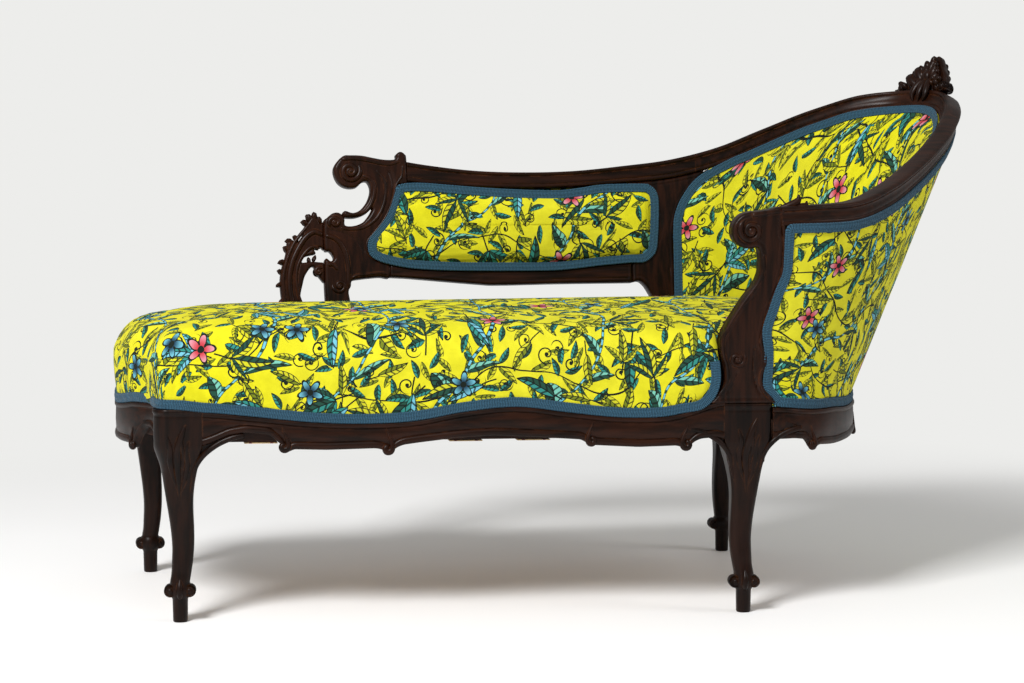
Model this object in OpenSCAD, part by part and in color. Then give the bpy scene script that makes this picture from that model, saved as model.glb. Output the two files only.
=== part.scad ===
// A small carved couch with one raised, rounded head end: a French daybed of the rococo revival.
// X runs from the foot end to the head end, Y from the front to the back, Z up from the floor.
// Every length is in millimetres. The origin lies on the floor under the middle of the couch.

/* [Seat] */
// Height of the seat's crown above the floor
seat_h = 478; // [466:2:490]
// How far the seat's side bulges past the show-wood
seat_bulge = 5; // [2:0.5:6]
// Thickness of the seat's cover cloth
cover_t = 2; // [1:0.25:2.5]
// Width of the braid that trims every upholstered edge
braid_w = 15; // [12:0.5:17]
// Thickness of the braid
braid_t = 3; // [2:0.25:3.5]

/* [Seat frame] */
// How far the front left leg stands to the left of the middle
front_left_x = 643; // [629:2:649]
// How far the front left leg stands in front of the middle
front_left_y = 180; // [170:2:190]
// How far the front right leg stands to the right of the middle
front_right_x = 230; // [221:1:236]
// How far the front right leg stands in front of the middle
front_right_y = 274; // [268:1:280]
// How far the back left leg stands to the left of the middle
back_left_x = 665; // [654:1:671]
// How far the back right leg stands to the right of the middle
back_right_x = 346; // [341:1:353]
// How far the tops of the back legs stand behind the middle
back_leg_y = 226; // [222:1:232]
// How far the foot-end rail bows out between its legs
foot_bow = 41; // [30:1:44]
// Height of the seat rails' lowest line above the floor
rail_low_z = 260; // [252:2:266]
// Height of the band in which the carved lines of the rails run
rail_band_h = 80; // [74:1:84]
// Height of the rails' underside, where the webbing is tacked
web_z = 281; // [278:1:284]
// Thickness of the seat rails from front to back
rail_t = 30; // [26:1:32]
// Height of the step above the show-wood that the cover is tacked to
tack_h = 16; // [12:1:18]
// How far that step is set back from the show-wood
tack_set = 6; // [5:0.5:8]

/* [Legs] */
// Half the width of the front legs' square tops
front_block = 38; // [36:1:39]
// Half the width of the back legs' square tops
back_block = 34; // [32:1:35]
// How far the back feet stand behind the tops of their legs
back_splay = 19; // [10:1:24]
// Diameter of the peg under each leg
peg_d = 23; // [20:0.5:26]
// Height of the peg below the scroll knobs
peg_h = 36; // [30:1:40]
// Half the width across the scroll knobs
knob_r = 23; // [21:0.5:25]

/* [Head end] */
// How far the rounded rim reaches past the line where it starts
rim_reach = 477; // [440:2:484]
// Depth of the rim from the front arm to the back
rim_depth = 602; // [596:1:606]
// Height of the front arm above the floor
arm_z = 620; // [600:2:630]
// Height that the rim climbs from the arm to its highest stretch
rim_rise = 180; // [150:2:186]
// How far the head rail bows out past the line where it starts
sill_reach = 258; // [250:1:262]
// Thickness of the rim from its inner to its outer face
rim_t = 30; // [28:0.5:32]
// Half the height of the rim's face at the head end
rim_half_h = 18; // [16:0.5:19]
// Depth of the frame inside the padded wall
wall_t = 24; // [20:0.5:26]
// Thickness of the wall's padding at its edges
pad_edge_t = 6; // [4:0.5:7]
// How far the wall's padding swells at its middle
pad_crown = 20; // [14:1:22]
// Height of the carved crest ornament above the rim's middle line
crest_h = 80; // [60:1:84]

/* [Back] */
// Rake of the back, in degrees
rake = 9.6; // [8:0.2:11]
// Thickness of the back's boards
back_t = 28; // [24:0.5:30]
// Length of the upholstered back panel
panel_l = 515; // [505:1:520]
// Height of the upholstered back panel
panel_h = 152; // [146:1:156]
// How far the back panel's padding swells forward
panel_crown = 16; // [10:1:20]
// Thickness of the pierced bracket
bracket_t = 22; // [18:0.5:24]

/* [Arm post] */
// Height of the arm post above the leg it stands on
post_h = 302; // [296:1:306]
// Thickness of the arm post
post_t = 38; // [34:0.5:40]
// Radius of the volute at the arm post's top
post_volute_r = 28; // [26:0.5:29]

/* [Springs and webbing] */
// Wire thickness of the seat springs
wire_d = 4; // [3.5:0.25:5]
// Coils of each seat spring
spring_turns = 3; // [2:1:4]
// Width of a webbing strip
web_w = 50; // [44:1:54]
// Thickness of a webbing strip
web_t = 2; // [1.5:0.25:2.5]

/* [Hidden] */

wood = "#3a2118";
dark_wood = "#2c1812";
plain_wood = "#b08a5a";
print_cloth = "#e5da1e";
braid_blue = "#44617c";
jute = "#b49a6c";
steel = "#8d9499";

// Gap between neighbouring pieces that don't share a joint
clear = 0.3;
// Overrun of every cut
over = 2;
// How far the rails' faces stand back from the leg tops' faces
rail_set = 1.5;
// Proud bead along the rails' upper edge
bead_out = 2;
bead_h = 7;
// Worn corner along the rails' lower edge, and the lip that hides the webbing
edge_cut = 3;
lip_t = 10;
lip_step = 2;
// Heights that the leg tops and the back's boards start from
leg_top_z = 332;
sill_z = 330;
// Front face of the back's boards at the sill
back_y0 = 222;
// Dowels
dowel_d = 10;
dowel_l = 44;
dowel_gap = 11;
// Level of the hessian over the springs
hessian_z = 372;

function unit(v) = v / norm(v);
function mix(a, b, t) = a + (b - a) * t;
function ease(t) = let(u = max(0, min(1, t))) u * u * (3 - 2 * u);
function flat(v) = [v[0], v[1], 0];
function bend(a, b, c, d, t) =
  (2 * b + (c - a) * t + (2 * a - 5 * b + 4 * c - d) * t * t + (3 * b - a - 3 * c + d) * t * t * t) / 2;
// Smooth curve through a list of points, where s counts points
function along(p, s) =
  let(n = len(p) - 1, i = max(0, min(n - 1, floor(s))))
  bend(p[max(0, i - 1)], p[i], p[i + 1], p[min(n, i + 2)], s - i);
function around(p, s) =
  let(n = len(p), i = floor(s))
  bend(p[(i - 1 + n) % n], p[i % n], p[(i + 1) % n], p[(i + 2) % n], s - i);
// The same points in the other order
function backwards(p) = [for (i = [len(p) - 1:-1:0]) p[i]];
// Even steps from a to b
function steps(a, b, n) = [for (i = [0:n]) mix(a, b, i / n)];
// Keys of a lookup table with the wide gaps between them divided
function stations(table, gap) = concat(
  [for (i = [0:len(table) - 2])
    let(a = table[i][0], b = table[i + 1][0], n = ceil((b - a) / gap))
    for (k = [0:n - 1]) mix(a, b, k / n)],
  [table[len(table) - 1][0]]);

// Closed solid through rings of equally many points
module skin(rings) {
  n = len(rings);
  m = len(rings[0]);
  polyhedron(
    points = [for (r = rings) each r],
    faces = concat(
      [[for (j = [0:m - 1]) j]],
      [for (i = [0:n - 2], j = [0:m - 1])
        let(a = i * m + j, b = i * m + (j + 1) % m) each [[a, a + m, b], [b, a + m, b + m]]],
      [[for (j = [m - 1:-1:0]) (n - 1) * m + j]]),
    convexity = 8);
}

// Closed solid between an outer and an inner grid of points
module sheet(out, inn) {
  n = len(out);
  m = len(out[0]);
  q = n * m;
  polyhedron(
    points = concat([for (r = out) each r], [for (r = inn) each r]),
    faces = concat(
      [for (i = [0:n - 2], j = [0:m - 2])
        let(a = i * m + j, b = a + m, c = b + 1, d = a + 1)
        each [[a, d, c], [a, c, b], [q + a, q + c, q + d], [q + a, q + b, q + c]]],
      [for (i = [0:n - 2])
        let(a = i * m, b = a + m, d = a + m - 1, c = b + m - 1)
        each [[a, b, q + b], [a, q + b, q + a], [c, d, q + d], [c, q + d, q + c]]],
      [for (j = [0:m - 2])
        let(a = j, d = a + 1, b = (n - 1) * m + j, c = b + 1)
        each [[d, a, q + a], [d, q + a, q + d], [b, c, q + c], [b, q + c, q + b]]]),
    convexity = 8);
}

// Flat braid along points, lying on a surface whose outward direction is given at each point
module ribbon(points, out, width, thick, lift) {
  n = len(points);
  skin([for (i = [0:n - 1])
    let(t = unit(points[min(n - 1, i + 1)] - points[max(0, i - 1)]),
        c = unit(cross(t, out[i])), h = width / 2, p = points[i] + out[i] * lift)
    [p - c * h, p + out[i] * thick - c * h, p + out[i] * thick + c * h, p + c * h]]);
}

// Flat braid that runs once round a loop of points in one plane
module loop_ribbon(points, out, width, thick) {
  n = len(points);
  polyhedron(
    points = [for (i = [0:n - 1])
      let(t = unit(points[(i + 1) % n] - points[(i + n - 1) % n]), c = unit(cross(t, out)) * width / 2, p = points[i])
      each [p - c, p + out * thick - c, p + out * thick + c, p + c]],
    faces = [for (i = [0:n - 1], j = [0:3])
      let(a = i * 4 + j, b = i * 4 + (j + 1) % 4, c = (i + 1) % n * 4 + j, d = (i + 1) % n * 4 + (j + 1) % 4)
      each [[a, c, b], [b, c, d]]],
    convexity = 8);
}

// Plan of the seat frame
foot_leg = [-front_left_x, -front_left_y];
arm_leg = [front_right_x, -front_right_y];
front_dir = unit(arm_leg - foot_leg);
front_out = [front_dir[1], -front_dir[0]];
front_turn = atan2(front_dir[1], front_dir[0]);
front_gap = norm(arm_leg - foot_leg);
face_out = front_block - rail_set;
back_left_leg_top = [-back_left_x, back_leg_y];
back_right_leg_top = [back_right_x, back_leg_y];

// Front rail: point of its face, where t runs from leg to leg
rail_start = front_block / front_gap;
function front_face(t) = foot_leg + front_dir * front_gap * t + front_out * face_out;
front_top_shares = [0.85, 0.755, 0.645, 0.6, 0.64, 0.81, 0.89, 0.77, 0.665, 0.69, 0.96];
front_low_shares = [
  [0, 0.2], [0.02, 0.27], [0.05, 0.4], [0.083, 0.45], [0.127, 0.4], [0.15, 0.2], [0.16, 0.04], [0.17, 0.12],
  [0.236, 0.1], [0.33, 0.12], [0.345, 0.08], [0.354, 0], [0.366, 0.12], [0.38, 0.18], [0.41, 0.22],
  [0.48, 0.3], [0.555, 0.34], [0.63, 0.3], [0.695, 0.26], [0.724, 0.24], [0.734, 0.16], [0.746, 0.13],
  [0.834, 0.08], [0.91, 0.1], [0.927, 0.02], [0.94, 0.16], [0.955, 0.23], [0.985, 0.25], [1, 0.2]];
function front_top(s) = rail_low_z + rail_band_h * along(front_top_shares, s * (len(front_top_shares) - 1));
function front_low(s) = rail_low_z + rail_band_h * lookup(s, front_low_shares);

// Foot-end rail: runs from the back leg to the front one, where s is a share of its length
foot_from = back_left_leg_top + [rail_set - back_block, -back_block];
foot_to = foot_leg - front_out * front_block - front_dir * face_out;
foot_bow_shares = [0, 0.5, 0.83, 1, 0.95, 0.6, 0];
foot_top_shares = [0.9, 0.85, 0.77, 0.73, 0.78, 0.88, 0.9];
foot_low_shares = [
  [0, 0.3], [0.05, 0.42], [0.12, 0.42], [0.2, 0.2], [0.25, -0.06], [0.29, 0.03], [0.5, 0],
  [0.77, 0.03], [0.81, -0.06], [0.85, 0.2], [0.91, 0.42], [0.96, 0.42], [1, 0.3]];
function foot_out(s) = unit(mix([-1, 0], -front_dir, s));
function foot_face(s) =
  mix(foot_from, foot_to, s) + foot_out(s) * foot_bow * along(foot_bow_shares, s * (len(foot_bow_shares) - 1));
function foot_top(s) = rail_low_z + rail_band_h * along(foot_top_shares, s * (len(foot_top_shares) - 1));
function foot_low(s) = rail_low_z + rail_band_h * lookup(s, foot_low_shares);

// Head end: the rim and the sill are two curves with the same parameter, which counts points
rim_x0 = 236;
rim_y0 = 305;
sill_y0 = 312;
sill_depth = 573;
rim_shares = [
  [0, 0, 0], [0.185, 0.012, 0.02], [0.354, 0.066, 0.045], [0.503, 0.156, 0.16], [0.635, 0.262, 0.31],
  [0.759, 0.372, 0.48], [0.872, 0.488, 0.667], [0.962, 0.62, 0.856], [0.994, 0.762, 0.972],
  [0.912, 0.9, 0.978], [0.757, 0.973, 0.933], [0.579, 0.999, 0.79], [0.405, 1.005, 0.617],
  [0.231, 1.003, 0.44], [0.048, 0.997, 0.32], [-0.136, 0.993, 0.267], [-0.321, 0.992, 0.228],
  [-0.505, 0.992, 0.217], [-0.69, 0.992, 0.233], [-0.874, 0.995, 0.278], [-1.06, 0.999, 0.356],
  [-1.245, 1, 0.42], [-1.43, 1, 0.46]];
sill_shares = [
  [0, 0], [0.236, 0.003], [0.442, 0.05], [0.605, 0.13], [0.736, 0.22], [0.845, 0.316], [0.938, 0.42],
  [0.984, 0.527], [0.992, 0.634], [0.961, 0.74], [0.888, 0.844], [0.756, 0.935], [0.566, 0.991],
  [0.326, 1], [0.089, 1]];
rim_half_shares = [
  0.85, 0.85, 0.9, 1, 1, 1, 1, 1, 1, 1, 0.97, 0.95, 0.93, 0.93, 0.93, 0.85, 0.78, 0.78, 0.8, 0.93, 1, 1, 1];
sill_low_shares = [
  [0, 0.2], [0.05, 0.2], [0.085, 0.16], [0.106, -0.06], [0.13, 0.02], [0.2, -0.04], [0.35, -0.08], [0.46, -0.06],
  [0.484, -0.14], [0.51, -0.06], [0.62, -0.08], [0.78, -0.03], [0.85, 0.02], [0.872, -0.08], [0.9, 0.14],
  [0.95, 0.22], [1, 0.2]];
sill_top_shares = [0.82, 0.735, 0.69, 0.61, 0.58, 0.575, 0.58, 0.6, 0.68, 0.78, 0.9];
// Parameters at which the head rail starts and ends, and where the stile stands
sill_from = 0.53;
sill_to = 12.03;
wall_end = 14;
function rim_free(s) =
  let(p = along(rim_shares, s)) [rim_x0 + rim_reach * p[0], rim_depth * p[1] - rim_y0, arm_z + rim_rise * p[2]];
// Past the head end the rim lies in the middle of the back's boards
function rim(s) =
  let(p = rim_free(s), y = back_y0 + tan(rake) * (p[2] - sill_z) + back_t / 2 / cos(rake))
  [p[0], mix(p[1], y, ease((s - 10.5) / 2)), p[2]];
function sill(s) = let(p = along(sill_shares, s)) [rim_x0 + sill_reach * p[0], sill_depth * p[1] - sill_y0];
function sill_share(s) = max(0, min(1, (s - sill_from) / (sill_to - sill_from)));
function sill_top(s) = rail_low_z + rail_band_h * along(sill_top_shares, sill_share(s) * (len(sill_top_shares) - 1));
function rim_half(s) = rim_half_h * along(rim_half_shares, s);
pace = 0.05;
function rim_dir(s) = unit(rim(s + pace) - rim(s - pace));
back_up = [0, sin(rake), cos(rake)];
// Direction up the wall, and the one out of it
function wall_up(s) = s > wall_end ? back_up
  : let(q = sill(s)) unit(mix(unit(rim(s) - [q[0], q[1], sill_top(s)]), back_up, ease((s - 12) / 2)));
function wall_out(s) = unit(cross(rim_dir(s), wall_up(s)));
function sill_side(s) = let(d = unit(sill(s + pace) - sill(s - pace))) [d[1], -d[0]];

// The head rail's face starts on the arm leg's right side and ends on the back leg's
start_shift = arm_leg + front_dir * front_block + front_out * face_out - sill(sill_from);
end_shift = back_right_leg_top + [back_block, back_block - rail_set] - sill(sill_to);
function head_face(s) =
  sill(s) + start_shift * (1 - ease((s - sill_from) / 2)) + end_shift * ease((s - sill_to + 2) / 2);
function head_out(s) =
  unit(s < sill_to - 2 ? mix(front_out, sill_side(s), ease((s - sill_from) / 1.5))
    : mix(sill_side(s), [0, 1], ease((s - sill_to + 2) / 2)));

// Middle of the wall's frame, where v runs from the head rail's step to the rim
function wall_foot(s) =
  let(q = head_face(s), o = head_out(s), d = (rail_t + tack_set) / 2)
  [q[0] - o[0] * d, q[1] - o[1] * d, sill_top(s) + tack_h];
function wall_head(s) = rim(s) - wall_up(s) * (rim_half(s) + clear);
function wall(s, v) = mix(wall_foot(s), wall_head(s), v);

// The wall's padding stops at the arm post and at the rounded corner of the stile
corner_v = 0.68;
corner_s = 0.8;
function wall_to(v) = wall_end - corner_s * pow(max(0, (v - corner_v) / (1 - corner_v)), 2.6);
post_right_shares = [
  [0, 0.39], [0.02, 0.37], [0.06, 0.24], [0.106, 0.21], [0.152, 0.21], [0.205, 0.27], [0.245, 0.27], [0.321, 0.19],
  [0.387, 0.22], [0.44, 0.27], [0.566, 0.39], [0.669, 0.5], [0.778, 0.53], [0.887, 0.55], [1, 0.55]];
post_size = 100;
function post_right(z) = front_right_x + post_size * lookup((z - leg_top_z) / post_h, post_right_shares);
function wall_from(v) =
  let(z = wall(1, v)[2], a = wall(0, v)[0], b = wall(1, v)[0]) (post_right(z) + 7 * clear - a) / (b - a);
function wall_at(u, v) = mix(wall_from(v), wall_to(v), u);

// Seat: the outline in plan, from the front left corner round past the arm post and the head end
cover_set = tack_set - cover_t;
seat_back_y = back_y0 - cover_set;
seat_corner_r = 24;
side_z = 400;
bulge_shares = [[0, 0], [0.12, 0.45], [0.35, 0.9], [0.65, 1], [1, 0.85]];
crown_shares = [
  [0, 0], [0.012, 0.16], [0.03, 0.3], [0.06, 0.44], [0.1, 0.57], [0.17, 0.69], [0.27, 0.77], [0.42, 0.85],
  [0.65, 0.92], [0.94, 1]];
post_left_shares = [
  [0, -0.56], [0.03, -0.53], [0.066, -0.46], [0.109, -0.42], [0.209, -0.43], [0.252, -0.46], [0.301, -0.47],
  [1, -0.47]];
function post_left(z) = post_size * lookup((z - leg_top_z) / post_h, post_left_shares);
spine_from = -0.72 * back_left_x;
spine_to = 0.9 * front_right_x;
// Each key is a run and a place on it
seat_keys = concat(
  [for (a = [0, 45, 90]) ["front corner", a]],
  [["front", rail_start]],
  [for (t = steps(0.1, 0.87, 9)) ["front", t]],
  [for (k = [0, 1, 2]) ["post", k]],
  [for (s = steps(1.1, 13.3, 15)) ["head", s]],
  [for (t = steps(0, 1, 6)) ["back", t]],
  [for (a = [90, 135, 180]) ["back corner", a]],
  [for (s = steps(0.1, 0.93, 7)) ["foot", s]]);

// Share of the wall's height at a level, and how far its padding stands from the middle of the wall
function wall_v(s, z) = let(a = wall_foot(s)[2], b = wall_head(s)[2]) max(0, min(1, (z - a) / (b - a)));
function swell(t, m, e) = pow(max(0, sin(180 * max(0, min(1, (t - m) / (1 - 2 * m))))), e);
wall_len = 1000;
wall_height = 340;
function wall_pad(u, v) =
  pad_edge_t + pad_crown * swell(u, braid_w / wall_len, 0.4) * swell(v, braid_w / wall_height, 0.5);
function seat_at_wall(s, z, e) =
  let(v = wall_v(s, z), a = wall_from(v), b = wall_to(v), u = max(0, min(1, (s - a) / (b - a))),
      o = wall_out(s), h = norm(flat(o)), d = wall_t / 2 + wall_pad(u, v) + 2 * clear + e,
      p = wall(s, v) - flat(o) / h * d / h)
  [p[0], min(p[1], seat_back_y - e)];
function seat_plan(key, z, e, b) =
  let(run = key[0], k = key[1], r = seat_corner_r - e + b, c = face_out - cover_set - seat_corner_r)
  run == "front corner" ?
    foot_leg + (front_out - front_dir) * c + (front_out * sin(k) - front_dir * cos(k)) * r
  : run == "front" ? front_face(k) - front_out * (cover_set + e - b)
  : run == "post" ?
    (let(x = post_left(z) - 3 * clear - e)
     k == 0 ? arm_leg + front_dir * x + front_out * (face_out - cover_set - e + b)
     : arm_leg + front_dir * (k == 1 ? x : post_size * 0.3) + front_out * (front_block - post_t - 2 * clear - e))
  : run == "head" ? seat_at_wall(k, z, e)
  : run == "back" ? [mix(0.72 * front_right_x, 0.1 * back_block - back_left_x, k), seat_back_y - e]
  : run == "back corner" ?
    [rail_set + cover_set + seat_corner_r - back_left_x - back_block, seat_back_y - seat_corner_r]
      + [cos(k), sin(k)] * (seat_corner_r - e)
  : foot_face(k) - foot_out(k) * (cover_set + e - b);
function seat_low(key) =
  let(run = key[0], k = key[1])
  clear + (run == "front" ? front_top((k - rail_start) / (1 - 2 * rail_start))
    : run == "head" ? sill_top(k) + tack_h
    : run == "foot" ? foot_top(k)
    : leg_top_z);
function seat_ring(h, e) = [for (key = seat_keys)
  let(z = mix(seat_low(key), side_z, h), p = seat_plan(key, z, e, seat_bulge * lookup(h, bulge_shares)))
  [p[0], p[1], z]];
function seat_level(z, e) = [for (key = seat_keys)
  let(a = seat_low(key), h = (z - a) / (side_z - a), p = seat_plan(key, z, e, seat_bulge * lookup(h, bulge_shares)))
  [p[0], p[1], z]];
function seat_crown(f, e) =
  let(c = lookup(f, crown_shares), z = mix(side_z, seat_h - e, c))
  [for (key = seat_keys)
    let(p = seat_plan(key, mix(side_z, z, key[0] == "head" ? 0.6 : 0), e, seat_bulge * lookup(1, bulge_shares)),
        q = [max(spine_from, min(spine_to, p[0])), (seat_back_y - front_right_y) * 0.2])
    [mix(p[0], q[0], f), mix(p[1], q[1], f), z]];
crown_steps = [for (k = [1:len(crown_shares) - 1]) crown_shares[k][0]];
crown_few = [0.02, 0.1, 0.27, 0.6, 0.94];

// Closed solid between an outer and an inner dome that share a rim
module dome(outer, inner) {
  m = len(outer[0]);
  n = len(outer);
  k = len(inner);
  q = n * m;
  polyhedron(
    points = concat([for (r = outer) each r], [for (r = inner) each r]),
    faces = concat(
      [for (i = [0:n - 2], j = [0:m - 1])
        let(a = i * m + j, b = i * m + (j + 1) % m) each [[a, a + m, b], [b, a + m, b + m]]],
      [[for (j = [m - 1:-1:0]) (n - 1) * m + j]],
      [for (i = [0:k - 2], j = [0:m - 1])
        let(a = q + i * m + j, b = q + i * m + (j + 1) % m) each [[a, b, a + m], [b, b + m, a + m]]],
      [[for (j = [0:m - 1]) q + (k - 1) * m + j]],
      [for (j = [0:m - 1]) let(a = j, b = (j + 1) % m) each [[a, b, q + b], [a, q + b, q + a]]]),
    convexity = 8);
}

// Legs
// Height of the knob and of the peg under it follow their own values
leg_shares = [
  [0.187, 0.4, 0, 0.85], [0.225, 0.4, -0.08, 0.8], [0.271, 0.42, -0.14, 0.75], [0.35, 0.44, -0.2, 0.7],
  [0.437, 0.47, -0.17, 0.65], [0.51, 0.5, -0.08, 0.6], [0.572, 0.54, 0, 0.5], [0.63, 0.61, 0.06, 0.4],
  [0.69, 0.73, 0.1, 0.3], [0.745, 0.88, 0.1, 0.2], [0.785, 0.99, 0.04, 0.12], [0.825, 1, 0, 0.08]];
knob_shares = [[0, 0.62], [0.12, 0.84], [0.34, 1], [0.72, 1.06], [0.98, 0.92], [1.12, 0.72]];
function cushioned(p, half, r, turn, z) = [for (q = [0:3], a = [0, 45, 90])
  let(w = half * (1 - r), b = turn + 90 * q)
  [p[0] + w * (cos(b) - sin(b)) + half * r * cos(b + a), p[1] + w * (sin(b) + cos(b)) + half * r * sin(b + a), z]];
module leg(top, foot, half, turn, out) {
  ankle_z = leg_shares[0][0] * leg_top_z;
  knee_z = leg_shares[len(leg_shares) - 1][0] * leg_top_z;
  skin(concat(
    [cushioned(foot, peg_d * 0.46, 0.9, turn, 0), cushioned(foot, peg_d / 2, 0.9, turn, peg_h * 0.1),
     cushioned(foot, peg_d / 2, 0.9, turn, peg_h)],
    [for (k = knob_shares) cushioned(foot, knob_r * k[1], 0.9, turn, peg_h + knob_r * k[0] + clear)],
    [for (k = leg_shares)
      let(z = leg_top_z * k[0], t = ease((z - ankle_z) / (knee_z - ankle_z)))
      cushioned(mix(foot, top, t) + out * half * k[2], half * k[1], k[3], turn, z)],
    [cushioned(top, half, 0.08, turn, leg_top_z)]));
}
// Dowel holes: each rail end has two, one above the other
dowel_z = web_z + dowel_d * 1.4;
module dowel_pair(p, dir, d) {
  for (k = [0, 1])
    translate([p[0], p[1], dowel_z + k * (dowel_d + dowel_gap)])
      rotate([0, 0, atan2(dir[1], dir[0])])
        rotate([0, 90, 0])
          cylinder(d = d, h = dowel_l, center = true, $fn = 8);
}
rail_mid = (rail_t + tack_set) / 2;
// Where the rails meet the legs: the middle of each end face and its direction
ends = [
  [front_face(rail_start) - front_out * rail_mid, front_dir],
  [front_face(1 - rail_start) - front_out * rail_mid, front_dir],
  [foot_to + front_dir * rail_mid, front_out],
  [foot_from + [rail_mid, 0], [0, 1]],
  [head_face(sill_from) - front_out * rail_mid, front_dir],
  [head_face(sill_to) - [0, rail_mid], [1, 0]],
  [[-back_left_x + back_block, back_leg_y + back_block - rail_set - rail_mid], [1, 0]],
  [[back_right_x - back_block, back_leg_y + back_block - rail_set - rail_mid], [1, 0]]];
module dowels(list, d) {
  for (k = list)
    dowel_pair(ends[k][0], ends[k][1], d);
}
bore = dowel_d + clear;

module front_left_leg() {
  color(wood) difference() {
    leg(foot_leg, foot_leg, front_block, front_turn, unit(front_out - front_dir));
    dowels([0, 2], bore);
  }
}
module front_right_leg() {
  color(wood) difference() {
    leg(arm_leg, arm_leg + front_out * 0.1 * front_block, front_block, front_turn, unit(front_out + front_dir));
    dowels([1, 4], bore);
  }
}
module back_left_leg() {
  color(wood) difference() {
    leg(back_left_leg_top, back_left_leg_top + [0, back_splay], back_block, 0, unit([-1, 1]));
    dowels([3, 6], bore);
  }
}
module back_right_leg() {
  color(wood) difference() {
    leg(back_right_leg_top, back_right_leg_top + [0, back_splay], back_block, 0, unit([1, 1]));
    dowels([5, 7], bore);
  }
}

// Rails: the section's points run from the inner top edge round the face to the inner lower edge
function rail_section(low, top) = [
  [-rail_t, top + tack_h], [-tack_set, top + tack_h], [-tack_set, top], [0, top],
  [bead_out, top - 0.2 * bead_h], [bead_out, top - 0.8 * bead_h], [0, top - bead_h],
  [0, low + edge_cut], [-edge_cut, low], [-lip_t, low], [-lip_t, web_z], [-rail_t, web_z]];
function rail_ring(p, out, low, top) =
  [for (q = rail_section(low, top)) [p[0] + out[0] * q[0], p[1] + out[1] * q[0], q[1]]];

// A rail runs a little long at both ends and is then cut square, flush with its leg
over_run = rail_t * 0.1;
function moved(ring, d) = [for (p = ring) [p[0] + d[0], p[1] + d[1], p[2]]];
function run_on(a, b, rings) = [for (i = [0:len(rings) - 1])
  i == 0 ? moved(rings[i], -over_run * a) : i == len(rings) - 1 ? moved(rings[i], over_run * b) : rings[i]];
module end_cut(k, turn) {
  translate([ends[k][0][0], ends[k][0][1], rail_low_z - rail_band_h])
    rotate([0, 0, atan2(ends[k][1][1], ends[k][1][0]) + turn])
      translate([0, -rail_t * 3, 0])
        cube([rail_t * 3, rail_t * 6, rail_band_h * 4]);
}
module front_seat_rail() {
  color(wood) difference() {
    skin(run_on(front_dir, front_dir,
      [for (s = stations(front_low_shares, 0.045))
        rail_ring(front_face(mix(rail_start, 1 - rail_start, s)), front_out, front_low(s), front_top(s))]));
    end_cut(0, 180);
    end_cut(1, 0);
    dowels([0, 1], bore);
    // Housing for the arm post's spreading foot
    translate([arm_leg[0], arm_leg[1], leg_top_z - clear])
      rotate([0, 0, front_turn])
        translate([post_size * post_left_shares[0][1] - 2 * clear, -front_block - over, 0])
          cube([post_size, post_t + over + 2 * clear, tack_h * 2]);
  }
}
module foot_end_rail() {
  color(wood) difference() {
    skin([for (s = stations(foot_low_shares, 0.06))
      rail_ring(foot_face(s), foot_out(s), foot_low(s), foot_top(s))]);
    dowels([2, 3], bore);
  }
}
module head_end_rail() {
  color(wood) difference() {
    skin(run_on(front_dir, [-1, 0],
      [for (k = stations(sill_low_shares, 0.05))
        let(s = mix(sill_from, sill_to, k))
        rail_ring(head_face(s), head_out(s), rail_low_z + rail_band_h * lookup(k, sill_low_shares), sill_top(s))]));
    end_cut(4, 180);
    end_cut(5, 180);
    dowels([4, 5], bore);
  }
}
back_rail_y = seat_back_y + 2 * clear - tack_set;
module back_seat_rail() {
  y1 = back_leg_y + back_block - rail_set;
  x0 = back_block - back_left_x;
  x1 = back_right_x - back_block;
  color(wood) difference() {
    translate([x0, back_rail_y, web_z])
      cube([x1 - x0, y1 - back_rail_y, sill_z - web_z]);
    dowels([6, 7], bore);
  }
}
module rail_dowels() {
  color(plain_wood) dowels([0:7], dowel_d);
}

// Braces across the inner corners
brace_z = web_z + rail_t * 0.3;
brace_t = rail_t * 0.9;
function inner_front(t) = front_face(t) - front_out * (rail_t + clear);
function inner_foot(s) = foot_face(s) - foot_out(s) * (rail_t + clear);
function inner_head(s) = head_face(s) - head_out(s) * (rail_t + clear);
reach = rail_t * 3;
module brace(points) {
  translate([0, 0, brace_z])
    linear_extrude(brace_t)
      polygon(points);
}
module corner_blocks() {
  bf = front_block + clear;
  bb = back_block + clear;
  y = back_rail_y - clear;
  color(plain_wood) {
    brace([inner_front(rail_start) + front_dir * clear, inner_front(rail_start + reach / front_gap),
      inner_foot(0.7), inner_foot(0.8), inner_foot(0.9), foot_leg - front_out * bf - front_dir * rail_t * 0.2,
      foot_leg - front_out * bf + front_dir * bf]);
    brace([inner_front(1 - rail_start - reach / front_gap), inner_front(1 - rail_start) - front_dir * clear,
      arm_leg - front_out * bf - front_dir * bf, arm_leg - front_out * bf + front_dir * bf,
      inner_head(sill_from + 0.2), inner_head(sill_from + 0.85), inner_head(sill_from + 1.5),
      arm_leg - front_out * (bf + reach * 0.45) + front_dir * bf,
      arm_leg - front_out * (bf + reach * 0.45) - front_dir * bf]);
    brace([[bb - back_left_x, y], back_left_leg_top + [bb, -bb], back_left_leg_top + [0, -bb],
      inner_foot(0.03), inner_foot(0.14), [bb + reach - back_left_x, y]]);
    brace([[back_right_x - bb, y], [back_right_x - bb - reach, y], [back_right_x, back_leg_y - bb - reach * 0.5],
      inner_head(10.6), inner_head(11.6), [back_right_x + bb * 0.8, back_leg_y - bb], back_right_leg_top - [bb, bb]]);
  }
}

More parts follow.
